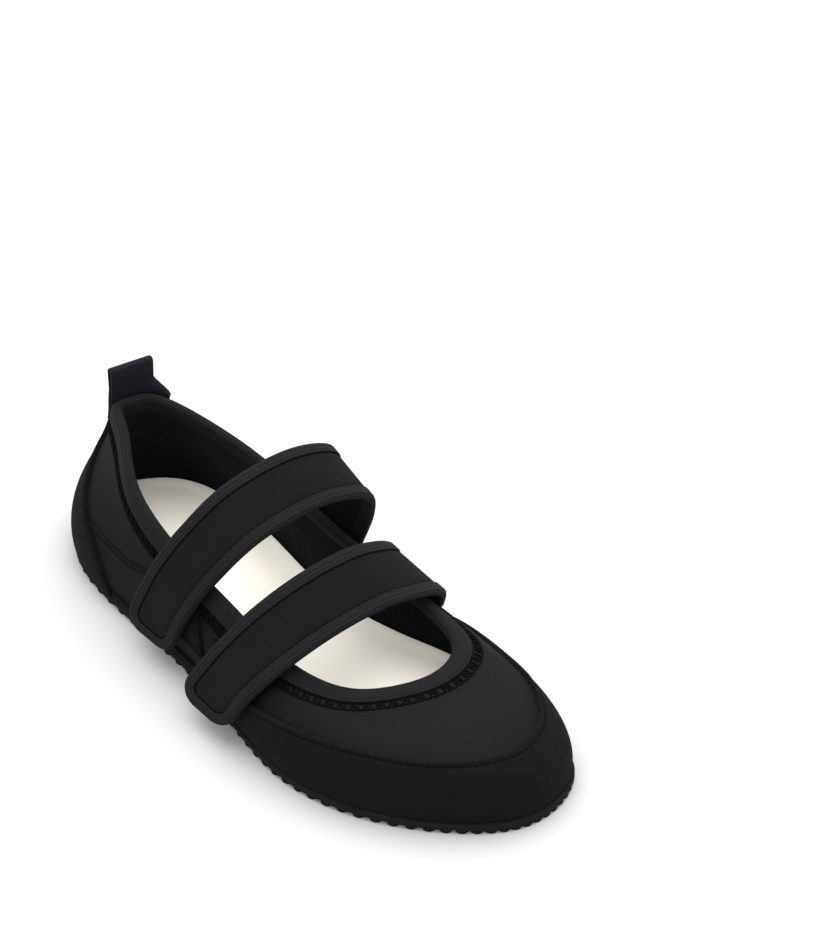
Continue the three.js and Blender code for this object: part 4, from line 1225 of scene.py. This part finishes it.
LOOP_PILE = pile("fastener_loop", (0.0065, 0.0065, 0.0068), 1.3, 0.6)
HOOK_ROWS = pile("fastener_hook", (0.006, 0.006, 0.006), 2.4, 0.4)
PATCH_FACE, PATCH_BORDER = 1.3, 1.8
PATCH_STITCH = dict(pitch=2.2, gap=0.6, radius=0.24, rise=0.2)
# [first station, last station, lower height, upper height]
LOOP_PATCHES = {"rear": (3.62, 4.42, 0.3, 0.72), "front": (4.75, 5.5, 0.46, 0.62)}


def loop_patch(name, first, last, low, high):
    patch = Patch(first, last, lambda s: low + 0 * s, lambda s: high + 0 * s, step=0.8)
    edge = np.minimum(np.minimum(patch.from_top, patch.from_low), patch.from_end)
    border = 0.3 * np.exp(-(((edge - PATCH_BORDER) / 0.6) ** 2))
    face, back = patch.plate(PATCH_FACE - rounding(edge, 0.7) - border, OVERLAY_BACK)
    ribbon(f"{name}_loop_patch", face, back, "shoe", "fastener_loop", LOOP_PILE, [f"{name}_loop_patch"])
    rows = (PATCH_BORDER, float(patch.length.min()) - PATCH_BORDER)
    lines = [patch.line_below_top(below, PATCH_FACE - 0.25, 5) for below in rows]
    parts = [running_stitch(*line, **PATCH_STITCH) for line in lines]
    new_piece(f"{name}_loop_patch_stitches", *join_parts(parts), "shoe", "fastener_loop", THREAD)


for name, limits in LOOP_PATCHES.items():
    loop_patch(name, *limits)


HOOK_DEPTHS = (-0.3, -1.0)


def hook_patch(name, strap):
    """The patch under the tip, from just above the rounded end to just below the peel joint."""
    inset = TAPE_LEG + 0.9
    across = np.linspace(inset, STRAP_WIDTH - inset, 14)[None]
    end = strap.outer_t(across, strap.tip_height(across, inset))
    top = strap.outer_t(across, strap.sizes["peel"] - 3)
    t = mix(top, end, np.linspace(0, 1, 26)[:, None])
    face, back = (strap.surface(across, t, depth) for depth in HOOK_DEPTHS)
    ribbon(f"{name}_hook_patch", face, back,
           f"{name}_tip", "fastener_hook", HOOK_ROWS, [f"{name}_hook_patch"])


# %% Build both straps
def bend(pieces, body_a, body_b, low, high):
    """Bakes each piece's placement into its mesh; body_a, body_b, low and high are not used."""
    for piece in pieces:
        low * METRE
        high * METRE
        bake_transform(piece)


def middle_length(strap, last_level, depth):
    """Length of the strap's middle line from the tip to a level on the inner side."""
    middle = STRAP_WIDTH / 2
    t = np.linspace(strap.outer_t(middle, strap.sizes["tip"]), strap.inner_t(middle, last_level), 200)
    return float(lengths_along(strap.surface(middle, t, depth))[-1])


def declare_sheet(strap, inset, depth):
    length = middle_length(strap, strap.sizes["split"], depth) - inset


def build_strap(name, sizes):
    strap = Strap(sizes)
    band = f"{name}_strap_band"
    tip = f"{name}_strap_tip"
    shell = ribbon(f"{name}_strap_suede", *long_layer(strap, SHELL_INSET, pillow, SHELL_LOW), None,
                   "strap_suede", STRAP_SUEDE, [f"{band}_shell", f"{tip}_shell"])
    under = ribbon(f"{name}_strap_lining", *long_layer(strap, LINING_INSET, lining_face, LINING_LOW), None,
                   "woven_lining", LINING, [f"{band}_lining", f"{tip}_lining"])
    tape = ribbon(f"{name}_strap_tape", *long_tape(strap), None, "strap_tape", TAPE,
                  [f"{band}_tape_rear", f"{band}_tape_front", f"{tip}_tape"])
    thread = new_piece(f"{name}_strap_stitches", *long_stitches(strap), None, "strap_suede", THREAD)
    bend([shell, under, tape, thread], f"{name}_tip", f"{name}_strap", sizes["peel"] - 4, sizes["peel"] + 5)
    root = f"{name}_strap_root"
    root_shell = ribbon(f"{root}_suede", *short_layer(strap, SHELL_INSET, pillow, SHELL_LOW), None,
                        "strap_suede", STRAP_SUEDE, [root])
    root_under = ribbon(f"{root}_lining", *short_layer(strap, LINING_INSET, lining_face, LINING_LOW), None,
                        "woven_lining", LINING)
    root_tape = new_piece(f"{root}_tape", *short_tapes(strap), None, "strap_tape", TAPE)
    root_thread = new_piece(f"{root}_stitches", *short_stitches(strap), None, "strap_suede", THREAD)
    short_part = [root_shell, root_under, root_tape, root_thread]
    bend(short_part, "shoe", f"{name}_strap", sizes["swing"] - 5, sizes["swing"] + 8)
    hook_patch(name, strap)
    declare_sheet(strap, SHELL_INSET, SHELL_HIGH)
    declare_sheet(strap, LINING_INSET, LINING_HIGH)
    return middle_length(strap, sizes["root"], SHELL_HIGH)


for name, sizes in STRAPS.items():
    print(name, "strap:", round(build_strap(name, sizes)), "mm from root to tip,", STRAP_WIDTH, "mm wide")

# %% [markdown]
# ## Pull tab
# Both ends of a short strip of webbing are sewn on the back of the heel, one over the other, and the fold
# between them stands up behind the collar as a loop. Its ribs run across its width. The strip is one piece.

# %% Webbing loop
TAB_WIDTH, TAB_THICKNESS, TAB_HEIGHT, TAB_BASE = 18.0, 0.9, 13.2, 1.2
TAB_ASIDE, TAB_TURN, TAB_LEAN, TAB_BULGE = 2.4, 8, 0.04, 0.7
TAB_UNDER, TAB_OUTER_LEG, TAB_INNER_LEG = 2.05, 12.6, 9.8
TAB_GAP, TAB_STEP, TAB_ROWS = 0.15, 0.3, 27
RIB_PITCH, RIB_RISE, SELVAGE_DIP = 1.0, 0.08, 0.18


def webbing(name):
    made = Finish(name, Specular_IOR_Level=0.1, Sheen_Weight=0.02)
    flat = made.cloth_map()
    along, across = made.along_and_across(flat)
    rib = along.wave(RIB_PITCH)
    strand = across.wave(0.75)
    threads = made.noise(flat, 1.6, 3.0, 0.7)
    bright = (rib * 0.4 + strand * 0.35 + (threads - 0.5) * 1.6).clamp(0, 1)
    made.colour(made.shades(bright, (0.0008, 0.001, 0.0016), (0.0075, 0.0098, 0.0165)))
    made.rough((0.85 - bright * 0.2).clamp(0, 1))
    return made.bump(rib * 0.4 + strand * 0.4 + threads * 0.4, 0.2)


WEBBING = webbing("webbing")


def tab_grid(off):
    """The folded webbing's middle surface, moved out of the fold by a distance: path steps by rows."""
    across = np.linspace(-TAB_WIDTH / 2, TAB_WIDTH / 2, TAB_ROWS)
    closed = TAB_THICKNESS / 2 + TAB_GAP
    middle = TAB_UNDER + TAB_THICKNESS + TAB_GAP

    def sewn(down, side):
        v = below_top(0.0, down) + 0 * across
        s = bisect(lambda station: -wall(station, v)[..., 1], -across - TAB_ASIDE, -2.5, 2.5)
        return on_wall(s, v, middle + side * (closed + off))

    turn = math.radians(TAB_TURN)
    base = wall(0.0, 1.0) + (-middle, TAB_ASIDE, 0)
    straight = base + across[:, None] * (math.sin(turn), math.cos(turn), 0)
    back = np.array((-math.cos(turn), math.sin(turn), 0))
    seam = {side: sewn(0.0, side) for side in (1, -1)}
    climb = np.arange(TAB_STEP, TAB_BASE + TAB_HEIGHT - 1.6, TAB_STEP)
    half = lambda up: closed + TAB_BULGE * math.sin(min(up / TAB_HEIGHT, 1) * math.pi / 2) + off

    def standing(side, up, width):
        settled = float(ease(up / 6.0))
        free = straight + back * (TAB_LEAN * max(up - TAB_BASE, 0) + side * width)
        return mix(seam[1 if side >= 0 else -1], free, settled) + (0, 0, up)

    outer = [sewn(down, 1) for down in np.arange(TAB_OUTER_LEG, 0.2, -TAB_STEP)]
    rising = [standing(1, up, half(up)) for up in climb]
    top = climb[-1]
    turns = np.linspace(0, np.pi, 13)[1:-1]
    crest_height = lambda angle: top + half(top) * math.sin(angle) * 0.85
    crest = [standing(math.cos(angle), crest_height(angle), half(top)) for angle in turns]
    falling = [standing(-1, up, half(up)) for up in climb[::-1]]
    inner = [sewn(down, -1) for down in np.arange(TAB_STEP, TAB_INNER_LEG, TAB_STEP)]
    return np.array(outer + rising + crest + falling + inner)


thick = TAB_THICKNESS / 2
outer_face, inner_face = tab_grid(thick), tab_grid(-thick)
run = lengths_along(tab_grid(0.0)[:, TAB_ROWS // 2])
ribs = RIB_RISE * np.cos(2 * np.pi * run / RIB_PITCH)[:, None, None]
selvage = np.isin(np.arange(TAB_ROWS), (0, TAB_ROWS - 1))[None, :, None]
inward = unit(inner_face - outer_face)
outer_face = outer_face - inward * (ribs - SELVAGE_DIP * selvage)
tab = ribbon("pull_tab", outer_face, inner_face, None, "webbing", WEBBING,
             ["pull_tab_loop", "pull_tab_outer_leg", "pull_tab_inner_leg"])
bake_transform(tab)
print("pull tab strip:", round(run[-1]), "mm long before folding")

# %% [markdown]
# ## Footbed
# The footbed is a thin foam sheet with a cream leather cover. It lies flat in the shoe, curls up a little
# where it meets the lining, dips under the heel and has shallow creases from wear and from lasting. Below
# it are the foam and the insole board, which are hidden but modelled, since they show if the shoe is cut
# open.

# %% Leather cover, foam and board
def cover_leather(name, dark, light):
    made = Finish(name, Specular_IOR_Level=0.3)
    flat = made.cloth_map()
    cloudy = made.noise(flat, 0.035, 3.0, 0.55)
    pores = made.noise(flat, 1.9, 3.0, 0.7)
    crease = made.noise(made.stretched(flat, 0.12, 0.02), 1.0, 2.0, 0.4)
    made.colour(made.shades((cloudy * 0.7 + pores * 0.3).clamp(0, 1), dark, light))
    made.rough((0.5 + pores * 0.2).clamp(0, 1))
    return made.bump(pores * 0.25 + crease, 0.25)


def plain_grain(name, dark, light, scale, relief, gloss=0.2):
    made = Finish(name, Specular_IOR_Level=gloss)
    flat = made.cloth_map()
    grain = made.noise(flat, scale, 3.0, 0.7)
    made.colour(made.shades(grain, dark, light))
    made.rough((0.75 + grain * 0.2).clamp(0, 1))
    return made.bump(grain, relief)


COVER = cover_leather("footbed_cover", (0.80, 0.75, 0.66), (0.89, 0.85, 0.78))
FOAM = plain_grain("footbed_foam", (0.50, 0.46, 0.38), (0.66, 0.61, 0.52), 1.1, 0.3)
BOARD = plain_grain("insole_board", (0.36, 0.31, 0.24), (0.50, 0.44, 0.35), 0.5, 0.2)


# %% Flat layers of the sole
ROUND = np.linspace(0, LOOP, 1200, endpoint=False)


def inside_outline(edge, columns, rows):
    """A grid of x, y that fills a closed outline, and how far each point is from it."""
    edge = edge[:, :2]
    heel, toe = edge[:, 0].argmin(), edge[:, 0].argmax()
    rolled = np.roll(edge, -heel, 0)
    toe = (toe - heel) % len(edge)
    outer, inner = rolled[: toe + 1], rolled[toe:][::-1]
    share = (1 - np.cos(np.pi * np.linspace(0, 1, columns))) / 2
    x = mix(edge[heel, 0] + 0.15, rolled[toe, 0] - 0.15, share)
    low = np.interp(x, outer[:, 0], outer[:, 1])
    high = np.interp(x, np.append(inner[:, 0], rolled[toe, 0] + 1), np.append(inner[:, 1], rolled[toe, 1]))
    across = (1 - np.cos(np.pi * np.linspace(0, 1, rows))) / 2
    y = mix(low[:, None], high[:, None], across)
    x = x[:, None] + 0 * y
    sparse = edge[::3]
    gap = np.hypot(x[..., None] - sparse[:, 0], y[..., None] - sparse[:, 1]).min(-1)
    return x, y, gap


FOOTBED_INSET = 0.3 - LINING_FACE
BOARD_LOW, BOARD_HIGH = 4.9, 5.7
FOAM_LOW, FOAM_HIGH = 6.0, 7.0
COVER_TOP, COVER_SKIN = 8.1, 0.75
# [mm from the heel, slant, width, depth] of each crease
CREASES = [(88, 0.5, 2.2, -0.22), (96, 0.45, 3.0, 0.2), (128, -0.3, 2.6, -0.2), (176, 0.35, 2.4, -0.18)]


def flat_layer(name, low, high, slot, finish):
    x, y, gap = inside_outline(sole_point(ROUND, FOOTBED_INSET, 0), 90, 30)
    drop = rounding(gap, 0.3)
    face, back = np.stack([x, y, high - drop], -1), np.stack([x, y, low + drop], -1)
    return ribbon(name, face, back, "shoe", slot, finish, [name])


def footbed_cover():
    """The cream leather: a curl at its edge, a dip under heel and ball, and the creases."""
    x, y, gap = inside_outline(sole_point(ROUND, FOOTBED_INSET - 0.15, 0), 220, 90)
    curl = 1.5 * (1 - ease(gap / 7.0)) ** 2
    heel_cup = -0.35 * np.exp(-(((x - 32) / 26) ** 2 + (y / 20) ** 2))
    ball = -0.25 * np.exp(-(((x - 165) / 30) ** 2 + (y / 30) ** 2))
    creases = 0
    for place, lean, wide, deep in CREASES:
        away = x - place - lean * y + 2.5 * np.sin(y / 9 + place)
        creases = creases + deep * np.exp(-((away / wide) ** 2)) * ease(gap / 8)
    top = COVER_TOP + curl + heel_cup + ball + creases
    face, back = np.stack([x, y, top], -1), np.stack([x, y, top - COVER_SKIN], -1)
    piece = ribbon("footbed_cover", face, back, "shoe", "footbed_cover", COVER, ["footbed_cover"])
    return float(np.ptp(y)), float(np.ptp(x))


flat_layer("insole_board", BOARD_LOW, BOARD_HIGH, "insole_board", BOARD)
flat_layer("footbed_foam", FOAM_LOW, FOAM_HIGH, "footbed_foam", FOAM)
cover_width, cover_length = footbed_cover()
print("footbed cover", round(cover_length), "by", round(cover_width), "mm")

# %% [markdown]
# ## Outsole
# The sole is a thin moulded rubber plate whose edge stands out a little from the upper. Round lugs stand
# below it: one row close round the edge, which gives the plate its scalloped lower line, and more under
# the foot.

# %% Rubber plate and lugs
LUG_DEPTH, LUG_INSET = 1.7, 0.15
EDGE_LUG, MIDDLE_LUG, EDGE_LUGS = 2.5, 3.6, 92
LUG_ROWS, LUG_SIDES = (0.12, 0.26, 0.62, 0.74, 0.86), (-0.13, 0.16)
RUBBER = plain_grain("sole_rubber", (0.0055, 0.0055, 0.0057), (0.0105, 0.0105, 0.0108), 0.9, 0.12, gloss=0.06)


def lug_places():
    """Centre and radius of every lug: a close row round the edge and two rows under the foot."""
    edge = sole_edge(np.arange(EDGE_LUGS) * LOOP / EDGE_LUGS, EDGE_LUG + LUG_INSET)[:, :2]
    places = [(x, y, EDGE_LUG) for x, y in edge.tolist()]
    for along in LUG_ROWS:
        places += [(along * LAST_LENGTH, across * LAST_WIDTH, MIDDLE_LUG) for across in LUG_SIDES]
    return places


def lug_mesh(x, y, radius):
    """A round lug with a hollow in its foot, turned from its profile."""
    turn = np.linspace(0, 2 * np.pi, 20, endpoint=False)
    profile = [(0.02, LUG_DEPTH + 0.25), (radius, LUG_DEPTH + 0.25), (radius, 0.45), (radius - 0.13, 0.13),
               (radius - 0.45, 0.0), (radius * 0.5, 0.0), (radius * 0.4, 0.25), (0.02, 0.25)]
    rings = np.array([[(x + r * math.cos(a), y + r * math.sin(a), z) for r, z in profile] for a in turn])
    faces = ring_faces(len(turn), len(profile), True)
    flat = np.stack([faces // len(profile) * 0.8, faces % len(profile) * 0.8], -1).astype(float)
    return rings.reshape(-1, 3), faces, flat


x, y, gap = inside_outline(sole_edge(ROUND, 0), 200, 60)
drop = rounding(gap, 0.7)
face, back = np.stack([x, y, SOLE_TOP - drop * 0.7], -1), np.stack([x, y, LUG_DEPTH + drop], -1)
ribbon("outsole_plate", face, back, "shoe", "sole_rubber", RUBBER, ["outsole"])
places = lug_places()
new_piece("outsole_lugs", *join_parts([lug_mesh(*place) for place in places]), "shoe", "sole_rubber", RUBBER)
print("outsole with", len(places), "lugs")

# %% [markdown]
# ## Close the scene
# The last cell brings the view layer up to date.


bpy.context.view_layer.update()
